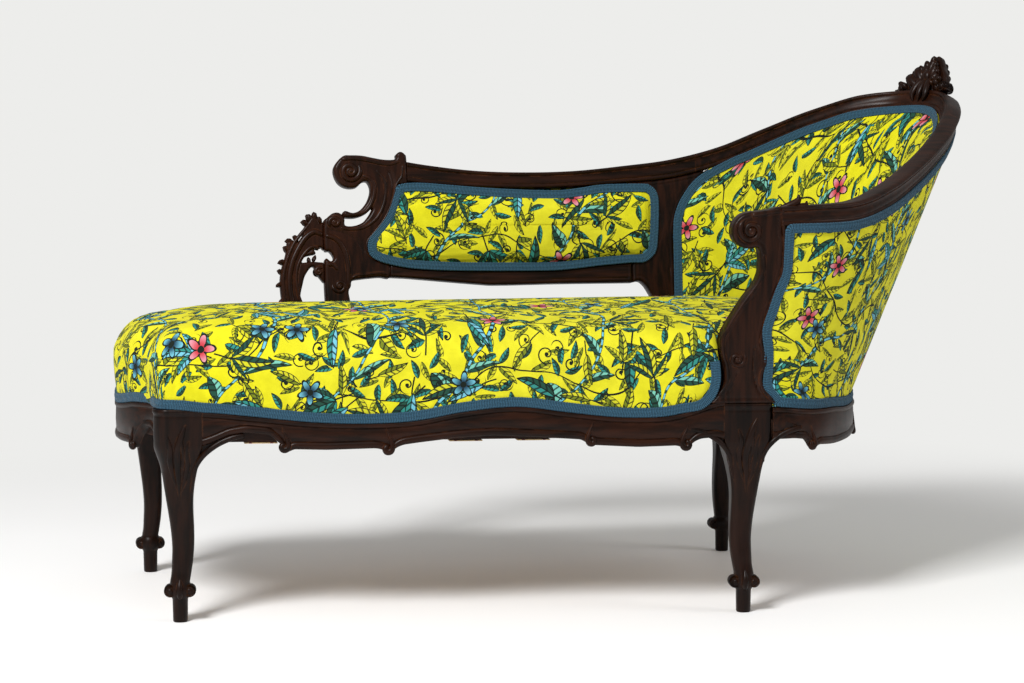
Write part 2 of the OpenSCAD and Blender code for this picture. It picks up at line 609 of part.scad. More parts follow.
// Arm post: a board with a volute, in the plane of the front legs' faces
post_shares = [
  [0.5, 1], [0.3, 0.993], [0.14, 0.986], [0.01, 0.982], [-0.12, 0.97], [-0.21, 0.945], [-0.265, 0.915],
  [-0.28, 0.887], [-0.265, 0.85], [-0.2, 0.82], [-0.1, 0.8], [0.01, 0.796], [0.11, 0.801], [0.148, 0.778],
  [0.16, 0.72], [0.15, 0.672], [0.09, 0.62], [0.01, 0.579], [-0.11, 0.53], [-0.21, 0.474], [-0.31, 0.422],
  [-0.39, 0.371], [-0.45, 0.335], [-0.46, 0.301], [-0.44, 0.252], [-0.4, 0.209], [-0.38, 0.156],
  [-0.39, 0.109], [-0.45, 0.066], [-0.53, 0.03], [-0.56, 0], [0.38, 0], [0.37, 0.02], [0.28, 0.05],
  [0.23, 0.07], [0.2, 0.106], [0.2, 0.152], [0.25, 0.19], [0.275, 0.225], [0.26, 0.26], [0.2, 0.3],
  [0.18, 0.321], [0.19, 0.36], [0.21, 0.387], [0.25, 0.44], [0.31, 0.5], [0.38, 0.566], [0.45, 0.62],
  [0.49, 0.669], [0.515, 0.73], [0.52, 0.778], [0.535, 0.841], [0.5, 0.887]];
volute_share = [0.01, 0.887];
scroll_share = [-0.19, 0.23];
module arm_post() {
  color(dark_wood)
    translate([arm_leg[0], arm_leg[1], leg_top_z])
      rotate([0, 0, front_turn])
        translate([0, post_t - front_block, 0])
          rotate([90, 0, 0]) {
            linear_extrude(post_t)
              polygon([for (p = post_shares) [p[0] * post_size, p[1] * post_h]]);
            translate([volute_share[0] * post_size, volute_share[1] * post_h, 0]) {
              cylinder(r = post_volute_r * 0.94, h = post_t + bead_out, $fn = 24);
              cylinder(r = post_volute_r * 0.36, h = post_t + 3 * bead_out, $fn = 16);
            }
            translate([scroll_share[0] * post_size, scroll_share[1] * post_h, 0])
              cylinder(r = post_volute_r * 0.6, h = post_t + bead_out, $fn = 20);
          }
}

// Rim
rim_section_shares = [
  [-0.5, -0.8], [-0.5, 0.4], [-0.43, 0.52], [-0.5, 0.66], [-0.42, 0.93], [-0.14, 1], [0.14, 1], [0.42, 0.93],
  [0.5, 0.66], [0.43, 0.52], [0.5, 0.4], [0.5, -0.8], [0.36, -1], [-0.36, -1]];
arm_from = 0.54;
arm_to = 6.5;
crest_from = 13.5;
function rim_ring(s) =
  let(p = rim(s), o = s < 1.5 ? unit(mix([front_out[0], front_out[1], 0], wall_out(s), ease(s - 0.5))) : wall_out(s),
      w = s < 1.5 ? unit(mix([0, 0, 1], wall_up(s), ease(s - 0.5))) : wall_up(s), h = rim_half(s))
  [for (q = rim_section_shares) p + o * q[0] * rim_t + w * q[1] * h];
module rim_piece(a, b, n) {
  skin([for (s = steps(a, b, n)) rim_ring(s)]);
}
module arm_rail() {
  color(wood) skin([for (s = steps(arm_to, arm_from, 17)) backwards(rim_ring(s))]);
}
module head_crest_rail() {
  color(wood) rim_piece(arm_to, crest_from, 22);
}
ornament_s = 8.4;
ornament_w = 112;
ornament_shares = [
  [0.5, 0], [0.47, 0.1], [0.49, 0.2], [0.44, 0.32], [0.36, 0.36], [0.33, 0.5], [0.26, 0.62], [0.18, 0.64],
  [0.13, 0.78], [0.07, 0.93], [0, 1], [-0.07, 0.93], [-0.13, 0.78], [-0.18, 0.64], [-0.26, 0.62], [-0.33, 0.5],
  [-0.36, 0.36], [-0.44, 0.32], [-0.49, 0.2], [-0.47, 0.1], [-0.5, 0]];
module crest_ornament() {
  d = rim_dir(ornament_s);
  w = wall_up(ornament_s);
  half = rim_half(ornament_s) + clear / 3;
  p = rim(ornament_s) + w * half;
  h = (crest_h - half) / w[2];
  color(wood)
    translate(p)
      rotate([0, 0, atan2(d[1], d[0])])
        rotate([acos(w[2]), 0, 0])
          translate([0, rim_t * 0.3, 0])
            rotate([90, 0, 0]) {
              linear_extrude(rim_t * 0.6)
                polygon([for (q = ornament_shares) [q[0] * ornament_w, q[1] * h]]);
              translate([0, h * 0.45, 0])
                cylinder(d = ornament_w * 0.2, h = rim_t * 0.6 + bead_out * 2, $fn = 16);
            }
}

// The panel's right end stays by the head end, so a longer panel carries the end board to the left
panel_right_x = 231;
panel_x = panel_right_x - panel_l;
end_x = panel_x + 70;
// Past its thirteenth point the rim runs on by even steps
rim_step = 0.1843 * rim_reach;
crest_to = 13 + (rim_x0 + 0.231 * rim_reach - end_x) / rim_step;
// Boards of the back: every outline lies on the raked plane, with its height along the plane
module board(t, set) {
  translate([0, back_y0, sill_z])
    rotate([-rake, 0, 0])
      translate([0, t + set, 0])
        rotate([90, 0, 0])
          linear_extrude(t)
            children();
}
// What the boards' feet are cut level by
module below_sill() {
  translate([-back_left_x, 0, 0])
    cube([back_left_x + back_right_x, back_y0 + 2 * back_t, sill_z + clear]);
}
function slant(z) = z / cos(rake);
function back_v(p) = (p - [0, back_y0, sill_z]) * back_up;
// The crest rail over the panel: a thick board whose edges follow the rim, with a bead along the top
function crest_edge(f) = [for (s = steps(crest_from, crest_to, 13))
  let(p = rim(s) + back_up * rim_half(s) * f) [p[0], back_v(p)]];
module crest_strip(t, low, high) {
  board(t, (back_t - t) / 2)
    polygon(concat(backwards(crest_edge(low)), crest_edge(high)));
}
module back_crest_rail() {
  color(wood) {
    crest_strip(rim_t * 0.84, -1, 0.97);
    crest_strip(rim_t, -0.84, 0.42);
    crest_strip(rim_t, 0.56, 0.8);
  }
}
panel_z = arm_z - 115;
panel_shares = [
  [0, 0.23], [0.02, 0.15], [0.068, 0.092], [0.15, 0.04], [0.276, 0.013], [0.4, 0.003], [0.474, 0], [0.643, 0],
  [0.786, 0.046], [0.9, 0.075], [0.942, 0.079], [0.973, 0.145], [0.99, 0.27], [1, 0.67], [0.996, 0.855],
  [0.975, 0.94], [0.942, 0.965], [0.796, 0.955], [0.652, 0.897], [0.404, 0.93], [0.192, 0.99], [0.111, 0.975],
  [0.097, 0.914], [0.083, 0.77], [0.064, 0.625], [0.033, 0.487], [0.002, 0.362]];
function panel_point(p, grow) = [panel_x + panel_l * p[0] + grow * (p[0] < 0.1 ? -1 : p[0] > 0.95 ? 1 : 0),
  slant(panel_z - sill_z + panel_h * p[1]) + grow * (p[1] < 0.12 ? -1 : p[1] > 0.88 ? 1 : 0)];
module panel_outline() {
  polygon([for (p = panel_shares) panel_point(p, 0)]);
}
// The end board reaches left from the crest rail's end
end_w = 127;
end_h = arm_z - 243;
stile_shares = [
  [0, 0.84], [0.102, 0.862], [0.165, 0.836], [0.213, 0.775], [0.291, 0.716], [0.417, 0.66], [0.535, 0.615],
  [0.575, 0.581], [0.543, 0.549], [0.449, 0.52], [0.276, 0.499], [0.276, 0.44], [0.417, 0.443], [0.701, 0.435],
  [0.795, 0.427], [0.811, 0.403], [0.843, 0.377], [0.819, 0.318], [0.803, 0.186], [0.795, 0.003],
  [1.189, 0.003], [1.173, 0.106], [1.134, 0.212], [1.126, 0.292], [1.157, 0.34], [1.157, 0.52], [1.071, 0.517],
  [1.031, 0.533], [1.087, 0.562], [1.157, 0.573], [1.157, 0.69], [1.11, 0.714], [1.024, 0.735], [0.937, 0.735],
  [0.874, 0.711], [0.866, 0.679], [0.748, 0.676], [0.622, 0.692], [0.528, 0.727], [0.488, 0.756],
  [0.591, 0.729], [0.724, 0.714], [0.866, 0.716], [0.89, 0.735], [0.858, 0.745], [0.756, 0.735],
  [0.654, 0.748], [0.551, 0.788], [0.504, 0.838], [0.543, 0.875], [0.614, 0.875], [0.701, 0.851],
  [0.819, 0.849], [0.921, 0.865], [0.984, 0.897], [1, 0.936], [0.945, 0.971], [0.858, 0.995], [0.772, 0.997],
  [0.614, 0.995], [0.449, 0.984], [0.307, 0.976], [0.173, 0.976], [0.14, 0.985], [0.14, 1], [0.08, 1.012],
  [0.02, 1], [0, 0.975]];
end_volute_share = [0.78, 0.923];
end_knob_share = [1.008, 0.692];
function end_point(p) = [end_x - end_w * p[0], slant(end_h * p[1])];
module end_stile() {
  color(dark_wood) {
    difference() {
      board(back_t, 0) polygon([for (p = stile_shares) end_point(p)]);
      board(back_t + 2 * over, -over) panel_outline();
      below_sill();
    }
    board(back_t + bead_out, -bead_out)
      translate(end_point(end_volute_share))
        circle(r = end_w * 0.15, $fn = 20);
    board(back_t + bead_out, -bead_out)
      translate(end_point(end_knob_share))
        circle(r = end_w * 0.11, $fn = 16);
  }
}
bracket_x = end_x - 1.157 * end_w - clear;
bracket_w = 77;
bracket_h = end_h - 106;
bracket_shares = [
  [0, 0.959], [0.065, 0.956], [0.13, 0.989], [0.26, 1], [0.364, 0.963], [0.455, 0.923], [0.494, 0.867],
  [0.636, 0.841], [0.805, 0.849], [0.857, 0.768], [0.961, 0.675], [1, 0.59], [0.974, 0.487], [0.896, 0.369],
  [0.792, 0.258], [0.727, 0.148], [0.753, 0.004], [0.182, 0.004], [0.182, 0.074], [0.26, 0.177],
  [0.39, 0.295], [0.519, 0.406], [0.558, 0.498], [0.494, 0.583], [0.442, 0.631], [0.325, 0.679],
  [0.247, 0.686], [0.182, 0.646], [0.104, 0.613], [0, 0.59], [0, 0.7], [0.117, 0.716], [0.325, 0.719],
  [0.506, 0.716], [0.416, 0.753], [0.195, 0.768], [0.221, 0.797], [0.078, 0.808], [0, 0.801]];
module scroll_bracket() {
  color(dark_wood) difference() {
    board(bracket_t, (back_t - bracket_t) / 2)
      polygon([for (p = bracket_shares) [bracket_x - bracket_w * p[0], slant(bracket_h * p[1])]]);
    below_sill();
  }
}
bottom_shares = [[0, 0.33], [0.07, 0.29], [0.13, 0.24], [0.365, 0.04], [0.45, 0], [0.695, 0.02], [1, 0.02], [1, 1], [0, 1]];
bottom_x = panel_x + 35;
bottom_z = panel_z - 24;
bottom_h = 48;
stile_x = panel_right_x - 50;
module back_bottom_rail() {
  color(dark_wood) difference() {
    board(back_t, 0)
      polygon([for (p = bottom_shares)
        [mix(bottom_x + clear, stile_x - clear, p[0]), slant(bottom_z - sill_z + bottom_h * p[1])]]);
    board(back_t + 2 * over, -over) panel_outline();
  }
}
inner_w = 148;
inner_h = arm_z - 276;
inner_shares = [
  [0, 0.442], [0.088, 0.448], [0.149, 0.43], [0.203, 0.395], [0.236, 0.355], [0.25, 0.203], [0.243, 0.003],
  [0.493, 0.003], [0.5, 0.203], [0.514, 0.346], [0.52, 0.494], [0.527, 0.677], [0.541, 0.727], [0.588, 0.805],
  [0.655, 0.86], [0.77, 0.922]];
module back_stile() {
  color(dark_wood) difference() {
    board(back_t, 0)
      polygon(concat(
        [for (p = inner_shares) [stile_x + inner_w * p[0], slant(inner_h * p[1])]],
        [for (s = steps(13.3, 14.9, 5))
          let(p = rim(s) - back_up * (rim_half(s) + clear)) [p[0], back_v(p)]]));
    board(back_t + 2 * over, -over) panel_outline();
    below_sill();
  }
}
// Head end's frame and padding
upright_s = [3.5, 7.5, 11];
upright_half = 0.2;
module wall_uprights() {
  color(plain_wood)
    for (k = upright_s)
      skin([for (v = [0, 1])
        let(o = wall_out(k) * (wall_t / 2 - web_t - 5 * clear), g = mix(wall_foot(k) + [0, 0, clear], wall_head(k), v),
            a = wall(k - upright_half, v), b = wall(k + upright_half, v),
            c = wall_up(k) * (v == 0 ? 1 : -1) * clear)
        v == 0 ? [for (q = [a + o, b + o, b - o, a - o]) [q[0], q[1], g[2]]] : [a + o + c, b + o + c, b - o + c, a - o + c]]);
}
// Two webbing strips across the wall, each between two levels
web_v = [0.42, 0.74];
module wall_webbing() {
  half = web_w / wall_height / 2;
  o = wall_t / 2 - 3 * clear;
  color(jute)
    for (k = web_v)
      sheet([for (u = steps(0.055, 0.945, 18)) [for (v = [k - half, k + half]) wall_point(u, v, o)]],
        [for (u = steps(0.055, 0.945, 18)) [for (v = [k - half, k + half]) wall_point(u, v, o - web_t + clear)]]);
}
pad_u = concat([0, braid_w / wall_len, 0.03, 0.055], steps(0.1, 0.9, 16), [0.945, 0.97, 1 - braid_w / wall_len, 1]);
pad_v = [0, braid_w / wall_height, 0.08, 0.14, 0.26, 0.42, 0.58, 0.74, 0.86, 0.92, 1 - braid_w / wall_height, 1];
function wall_point(u, v, o) = let(s = wall_at(u, v)) wall(s, v) + wall_out(s) * o;
module wall_inner_pad() {
  color(print_cloth)
    sheet([for (u = pad_u) [for (v = pad_v) wall_point(u, v, -wall_t / 2)]],
      [for (u = pad_u) [for (v = pad_v) wall_point(u, v, -wall_t / 2 - wall_pad(u, v))]]);
}
// The outer cover also hangs over the rail's step, down to the show-wood
cover_u = concat([0, 0.03], steps(0.07, 0.93, 20), [0.97, 1]);
cover_v = [-1, 0, 0.15, 0.4, 0.65, 0.88, 1];
function skirt(u, v, o) = v < 0
  ? let(s = wall_at(u, 0), p = wall_foot(s), d = head_out(s)) p + [d[0] * o, d[1] * o, (tack_h - clear) * v]
  : wall_point(u, v, o);
module wall_outer_cover() {
  o = wall_t / 2 + 3 * clear;
  color(print_cloth)
    sheet([for (u = cover_u) [for (v = cover_v) skirt(u, v, o + cover_t + 2 * clear * sin(180 * max(0, v)))]],
      [for (u = cover_u) [for (v = cover_v) skirt(u, v, o)]]);
}

// Braids run half their width inside the edges that they trim
edge_u = braid_w * 0.55 / wall_len;
edge_v = braid_w * 0.55 / wall_height;
inner_path = concat(
  [for (v = steps(0.28, 1 - edge_v, 5)) [edge_u, v]],
  [for (u = steps(0.04, 0.96, 26)) [u, 1 - edge_v]],
  [for (v = steps(0.95, 0.26, 8)) [1 - edge_u, v]]);
module wall_inner_braid() {
  color(braid_blue)
    ribbon([for (q = inner_path) wall_point(q[0], q[1], -wall_t / 2 - pad_edge_t)],
      [for (q = inner_path) -wall_out(wall_at(q[0], q[1]))], braid_w, braid_t, clear / 3);
}
outer_path = concat(
  [for (v = steps(0.1, 1 - edge_v, 6)) [edge_u, v]],
  [for (u = steps(0.04, 0.96, 26)) [u, 1 - edge_v]],
  [for (v = steps(0.94, 0.1, 5)) [1 - edge_u, v]],
  [for (u = steps(0.97, 0.04, 24)) [u, -0.45]]);
module wall_outer_braid() {
  o = wall_t / 2 + cover_t + 5 * clear;
  pts = [for (q = outer_path) skirt(q[0], q[1], o)];
  color(braid_blue)
    ribbon(pts, [for (q = outer_path) q[1] < 0
      ? let(d = head_out(wall_at(q[0], 0))) [d[0], d[1], 0] : wall_out(wall_at(q[0], q[1]))],
      braid_w, braid_t, 0);
}

// Back panel
panel_ring_shares = [[0, 0], [0.2, 0.04], [0.25, 0.4], [0.34, 0.68], [0.52, 0.92], [0.85, 1]];
module panel_pad() {
  c = [panel_x + panel_l / 2, slant(panel_z - sill_z + panel_h * 0.48)];
  span = panel_l / 2 - panel_h / 2;
  function ring(f, y, e) = [for (p = panel_shares)
    let(a = panel_point(p, -e), b = [max(c[0] - span, min(c[0] + span, a[0])), c[1]], q = mix(a, b, f))
    [q[0], y, q[1]]];
  color(print_cloth)
    translate([0, back_y0, sill_z])
      rotate([-rake, 0, 0])
        skin(concat([ring(0, back_t - clear, clear), ring(0, -cover_t, clear)],
          [for (k = panel_ring_shares) if (k[0] > 0) ring(k[0], -cover_t - panel_crown * k[1], clear)]));
}
module panel_outer_cover() {
  color(print_cloth)
    board(cover_t, (back_t + rim_t) / 2 + clear)
      polygon([for (p = panel_shares) panel_point(p, braid_w * 0.7)]);
}
module panel_trim(y, e, turn) {
  translate([0, back_y0, sill_z])
    rotate([-rake, 0, 0])
      loop_ribbon([for (p = panel_shares) let(a = panel_point(p, e)) [a[0], y, a[1]]],
        [0, turn, 0], braid_w, braid_t);
}
module panel_braid() {
  color(braid_blue) panel_trim(-cover_t - clear, -braid_w * 0.5, -1);
}
module panel_outer_braid() {
  color(braid_blue) panel_trim((back_t + rim_t) / 2 + cover_t + 2 * clear, braid_w * 0.2, 1);
}

// Webbing, springs and stuffing of the seat
web_set = lip_t + 2 * clear;
function web_line() = concat(
  [for (t = [rail_start + 0.01, 0.5, 1 - rail_start - 0.01]) front_face(t) - front_out * web_set],
  [arm_leg - (front_dir + front_out) * (front_block + web_t), arm_leg + (front_dir - front_out) * (front_block + web_t)],
  [for (s = steps(0.7, 11.6, 16)) head_face(s) - head_out(s) * web_set],
  [back_right_leg_top + [back_block, -back_block - web_t], back_right_leg_top - [back_block + web_t, back_block + web_t]],
  [[back_right_x - back_block - web_t, back_leg_y + back_block * 0.5],
   [back_block + web_t - back_left_x, back_leg_y + back_block * 0.5]],
  [back_left_leg_top + [back_block + web_t, -back_block - web_t]],
  [for (s = steps(0.04, 0.95, 8)) foot_face(s) - foot_out(s) * web_set],
  [foot_leg + (front_dir - front_out) * (front_block + web_t)]);
web_pitch = 104;
web_rows = 3;
module seat_webbing() {
  color(jute) intersection() {
    translate([0, 0, web_z - web_t])
      linear_extrude(web_t)
        polygon(web_line());
    union() {
      for (i = [-5:3])
        translate([i * web_pitch - web_w / 2, -sill_y0 * 1.2, web_z - web_t - over])
          cube([web_w, sill_y0 * 2.4, web_t + 2 * over]);
      for (j = [-1:1])
        translate([-back_left_x * 1.3, j * web_pitch * 1.15 - web_w, web_z - web_t - over])
          cube([back_left_x * 2.6, web_w, web_t + 2 * over]);
    }
  }
}
spring_r = 34;
spring_low = web_z + wire_d / 2 + clear;
spring_high = hessian_z - wire_d / 2 - clear;
spring_rings = 8;
spring_places = [for (i = [-5, -3, -1, 1], j = [-1, 0]) [i, j]];
function spring_path(k) =
  let(t = k / (spring_turns * spring_rings), r = spring_r * (0.72 + 0.28 * pow(abs(2 * t - 1), 1.5)))
  [r * cos(360 * k / spring_rings), r * sin(360 * k / spring_rings), mix(spring_low, spring_high, t)];
function spring_points() = [for (k = [0:spring_turns * spring_rings]) spring_path(k)];
module spring() {
  n = spring_turns * spring_rings;
  p = spring_points();
  skin([for (k = [0:n])
    let(t = unit(p[min(n, k + 1)] - p[max(0, k - 1)]), o = unit([p[k][0], p[k][1], 0]), b = cross(t, o))
    [for (a = [0:90:270]) p[k] + (o * cos(a) + b * sin(a)) * wire_d / 2]]);
}
module seat_springs() {
  color(steel)
    for (q = spring_places)
      translate([q[0] * web_pitch, q[1] * web_pitch * 1.15 + web_pitch * 0.33, 0])
        spring();
}
function spring_gap() =
  let(p = spring_points(), n = len(p))
  min([for (i = [0:n - 1], j = [0:n - 1]) if (j - i > spring_rings / 2) norm(p[i] - p[j])]) - wire_d;
echo(spring_gap_mm = spring_gap());

hessian_t = 1.2;
module seat_hessian() {
  color(jute)
    translate([0, 0, hessian_z])
      linear_extrude(hessian_t)
        polygon([for (p = seat_level(hessian_z, cover_t + 4 * clear)) [p[0], p[1]]]);
}
module seat_stuffing() {
  e = cover_t + clear;
  color(jute)
    skin(concat([seat_level(hessian_z + hessian_t + clear, e), seat_ring(1, e)],
      [for (f = crown_few) seat_crown(f, e)]));
}
module seat_cover() {
  color(print_cloth)
    dome(concat([for (k = bulge_shares) seat_ring(k[0], 0)], [for (f = crown_steps) seat_crown(f, 0)]),
      concat([for (h = [0, 0.5, 1]) seat_ring(h, cover_t)], [for (f = crown_few) seat_crown(f, cover_t)]));
}
// The braid runs from the back left corner round the foot end and the front, and up the arm post
braid_keys = concat(
  [for (a = [90, 135, 180]) ["back corner", a]],
  [for (s = steps(0.06, 0.95, 12)) ["foot", s]],
  [for (a = [0, 45, 90]) ["front corner", a]],
  [["front", rail_start]],
  [for (t = steps(0.07, 0.885, 22)) ["front", t]]);
function key_out(key) =
  let(run = key[0], k = key[1])
  run == "foot" ? [foot_out(k)[0], foot_out(k)[1], 0]
  : run == "front" ? [front_out[0], front_out[1], 0]
  : run == "back corner" ? [cos(k), sin(k), 0]
  : let(d = front_out * sin(k) - front_dir * cos(k)) [d[0], d[1], 0];
module seat_braid() {
  lift = seat_bulge * 0.68 + clear;
  run = [for (key = braid_keys)
    let(z = seat_low(key) + braid_w / 2, p = seat_plan(key, z, 0, lift)) [p[0], p[1], z]];
  rise = [for (z = steps(0.1, 0.95, 4))
    let(h = mix(leg_top_z + braid_w, side_z, z), x = post_left(h) - braid_w * 0.6,
        p = arm_leg + front_dir * x + front_out * (face_out - cover_set + seat_bulge))
    [p[0], p[1], h]];
  color(braid_blue)
    ribbon(concat(run, rise), concat([for (key = braid_keys) key_out(key)], [for (p = rise) key_out(["front", 0])]),
      braid_w, braid_t, 0);
}

front_left_leg();
front_right_leg();
back_left_leg();
back_right_leg();
front_seat_rail();
foot_end_rail();
head_end_rail();
back_seat_rail();
corner_blocks();
rail_dowels();
arm_post();
arm_rail();
head_crest_rail();
back_crest_rail();
crest_ornament();
end_stile();
scroll_bracket();
back_bottom_rail();
back_stile();
wall_uprights();
seat_webbing();
seat_springs();
seat_hessian();
seat_stuffing();
seat_cover();
seat_braid();
wall_webbing();
wall_inner_pad();
wall_outer_cover();
wall_inner_braid();
wall_outer_braid();
panel_pad();
panel_outer_cover();
panel_braid();
panel_outer_braid();
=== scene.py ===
# %% [markdown]
# # A small carved couch with one raised end
#
# The real piece is a frame of dark, polished wood with upholstery nailed into it: a domed seat on
# four curved legs, a padded wall that sweeps round one end under a carved rim, and a short padded
# panel in the back that ends in an open scroll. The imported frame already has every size, so this
# script only dresses it. All lengths are worked out in millimetres and turned to metres at the end.

# %% The frame
import math

import bmesh
import bpy
import mathutils
import numpy as np
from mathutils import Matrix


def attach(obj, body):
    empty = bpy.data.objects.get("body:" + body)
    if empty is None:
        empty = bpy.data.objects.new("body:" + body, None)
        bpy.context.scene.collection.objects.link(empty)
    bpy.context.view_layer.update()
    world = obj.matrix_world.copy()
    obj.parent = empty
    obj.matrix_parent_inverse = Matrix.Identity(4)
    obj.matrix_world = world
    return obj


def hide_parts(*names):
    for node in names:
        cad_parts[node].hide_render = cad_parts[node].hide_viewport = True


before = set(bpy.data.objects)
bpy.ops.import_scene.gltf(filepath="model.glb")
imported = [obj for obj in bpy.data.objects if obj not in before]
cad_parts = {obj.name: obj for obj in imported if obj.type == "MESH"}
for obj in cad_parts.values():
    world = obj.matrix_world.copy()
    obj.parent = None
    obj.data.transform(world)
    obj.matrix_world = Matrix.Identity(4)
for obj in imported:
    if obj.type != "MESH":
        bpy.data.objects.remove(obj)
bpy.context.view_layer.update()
MM = 0.001
print("nodes in the frame:", len(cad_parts))

# %% [markdown]
# ## Sizes that the shapes share
#
# The couch is a few curves seen again and again: the line of the front rail, the bow of the foot
# end, and at the head end the sill below and the rim above, between which the padded wall is
# stretched. Each is a short list of points with a smooth curve through it, the same way a maker
# would set out a template.

# %% Curves through points
UP = np.array([0, 0, 1.0])


def curve(points, s):
    """Smooth curve through points, where s counts them: a cubic on each stretch whose slope at a
    point is half the step between its two neighbours (Catmull-Rom)."""
    p = np.asarray(points, float)
    s = np.asarray(s, float)
    i = np.clip(np.floor(s).astype(int), 0, len(p) - 2)
    t = s - i
    if p.ndim > 1:
        t = t[..., None]
    a, b, c, d = (p[np.clip(i + k, 0, len(p) - 1)] for k in (-1, 0, 1, 2))
    return (2 * b + (c - a) * t + (2 * a - 5 * b + 4 * c - d) * t**2 + (3 * b - a - 3 * c + d) * t**3) / 2


def ease(t):
    """S-shaped step from 0 to 1: three t squared minus two t cubed."""
    t = np.clip(t, 0, 1)
    return t * t * (3 - 2 * t)


def unit(v):
    v = np.asarray(v, float)
    return v / np.maximum(np.linalg.norm(v, axis=-1, keepdims=True), 1e-9)


def mix(a, b, t):
    return a + (b - a) * t


def stack(*parts):
    """Points from their separate coordinates, which may be single numbers or arrays."""
    return np.stack(np.broadcast_arrays(*parts), -1).astype(float)


# %% The seat frame's plan
foot_leg = np.array([-643.0, -180.0])
arm_leg = np.array([230.0, -274.0])
back_left = np.array([-665.0, 226.0])
back_right = np.array([346.0, 226.0])
front_dir = unit(arm_leg - foot_leg)
front_out = np.array([front_dir[1], -front_dir[0]])
front_turn = math.atan2(front_dir[1], front_dir[0])
front_gap = float(np.linalg.norm(arm_leg - foot_leg))
leg_half, back_half, face_out = 38, 34, 36.5
rail_start = leg_half / front_gap
block_top, post_wide, post_tall = 332, 100, 302
rail_low, rail_band, web_z, tack_h, tack_set = 260, 80, 281, 16, 6
front_top_line = [0.85, 0.755, 0.645, 0.6, 0.64, 0.81, 0.89, 0.77, 0.665, 0.69, 0.96]
front_low_line = np.array([
    [0, 0.2], [0.02, 0.27], [0.05, 0.4], [0.083, 0.45], [0.127, 0.4], [0.15, 0.2], [0.16, 0.04], [0.17, 0.12],
    [0.236, 0.1], [0.33, 0.12], [0.345, 0.08], [0.354, 0], [0.366, 0.12], [0.38, 0.18], [0.41, 0.22],
    [0.48, 0.3], [0.555, 0.34], [0.63, 0.3], [0.695, 0.26], [0.724, 0.24], [0.734, 0.16], [0.746, 0.13],
    [0.834, 0.08], [0.91, 0.1], [0.927, 0.02], [0.94, 0.16], [0.955, 0.23], [0.985, 0.25], [1, 0.2]])


def front_face(t):
    t = np.asarray(t, float)[..., None]
    return foot_leg + front_dir * front_gap * t + front_out * face_out


def front_top(s):
    return rail_low + rail_band * curve(front_top_line, np.asarray(s) * 10)


def line_of(table, s):
    return rail_low + rail_band * np.interp(s, *table.T)


foot_from = back_left + [1.5 - back_half, -back_half]
foot_to = foot_leg - front_out * leg_half - front_dir * face_out
foot_low_line = np.array([
    [0, 0.3], [0.05, 0.42], [0.12, 0.42], [0.2, 0.2], [0.25, -0.06], [0.29, 0.03], [0.5, 0],
    [0.77, 0.03], [0.81, -0.06], [0.85, 0.2], [0.91, 0.42], [0.96, 0.42], [1, 0.3]])


def foot_out(s):
    return unit(mix(np.array([-1.0, 0.0]), -front_dir, np.asarray(s, float)[..., None]))


def foot_face(s):
    s = np.asarray(s, float)
    bow = 41 * curve([0, 0.5, 0.83, 1, 0.95, 0.6, 0], s * 6)
    return mix(foot_from, foot_to, s[..., None]) + foot_out(s) * bow[..., None]


def foot_top(s):
    return rail_low + rail_band * curve([0.9, 0.85, 0.77, 0.73, 0.78, 0.88, 0.9], np.asarray(s) * 6)


# %% The head end: sill, rim and the wall between them
rake = math.radians(9.6)
back_y0, sill_z, back_t, rim_t, wall_t = 222, 330, 28, 30, 24
back_up = np.array([0, math.sin(rake), math.cos(rake)])
rim_points = np.array([
    [0, 0, 0], [0.185, 0.012, 0.02], [0.354, 0.066, 0.045], [0.503, 0.156, 0.16], [0.635, 0.262, 0.31],
    [0.759, 0.372, 0.48], [0.872, 0.488, 0.667], [0.962, 0.62, 0.856], [0.994, 0.762, 0.972],
    [0.912, 0.9, 0.978], [0.757, 0.973, 0.933], [0.579, 0.999, 0.79], [0.405, 1.005, 0.617],
    [0.231, 1.003, 0.44], [0.048, 0.997, 0.32], [-0.136, 0.993, 0.267], [-0.321, 0.992, 0.228],
    [-0.505, 0.992, 0.217], [-0.69, 0.992, 0.233], [-0.874, 0.995, 0.278], [-1.06, 0.999, 0.356],
    [-1.245, 1, 0.42], [-1.43, 1, 0.46]])
rim_points = rim_points * [477, 602, 180] + [236, -305, 620]
rim_half_line = 18 * np.array([0.85, 0.85, 0.9, 1, 1, 1, 1, 1, 1, 1, 0.97, 0.95, 0.93, 0.93, 0.93, 0.85,
                               0.78, 0.78, 0.8, 0.93, 1, 1, 1])
sill_points = np.array([
    [0, 0], [0.236, 0.003], [0.442, 0.05], [0.605, 0.13], [0.736, 0.22], [0.845, 0.316], [0.938, 0.42],
    [0.984, 0.527], [0.992, 0.634], [0.961, 0.74], [0.888, 0.844], [0.756, 0.935], [0.566, 0.991],
    [0.326, 1], [0.089, 1]]) * [258, 573] + [236, -312]
sill_low_line = np.array([
    [0, 0.2], [0.05, 0.2], [0.085, 0.16], [0.106, -0.06], [0.13, 0.02], [0.2, -0.04], [0.35, -0.08], [0.46, -0.06],
    [0.484, -0.14], [0.51, -0.06], [0.62, -0.08], [0.78, -0.03], [0.85, 0.02], [0.872, -0.08], [0.9, 0.14],
    [0.95, 0.22], [1, 0.2]])
sill_from, sill_to, wall_end = 0.53, 12.03, 14


def rim(s):
    """Middle line of the rim; past the head end it settles into the middle of the raked boards."""
    p = curve(rim_points, s)
    y = back_y0 + math.tan(rake) * (p[..., 2] - sill_z) + back_t / 2 / math.cos(rake)
    p[..., 1] = mix(p[..., 1], y, ease((np.asarray(s, float) - 10.5) / 2))
    return p


def rim_half(s):
    return curve(rim_half_line, s)


def sill_side(s):
    d = unit(curve(sill_points, np.asarray(s) + 0.05) - curve(sill_points, np.asarray(s) - 0.05))
    return stack(d[..., 1], -d[..., 0])


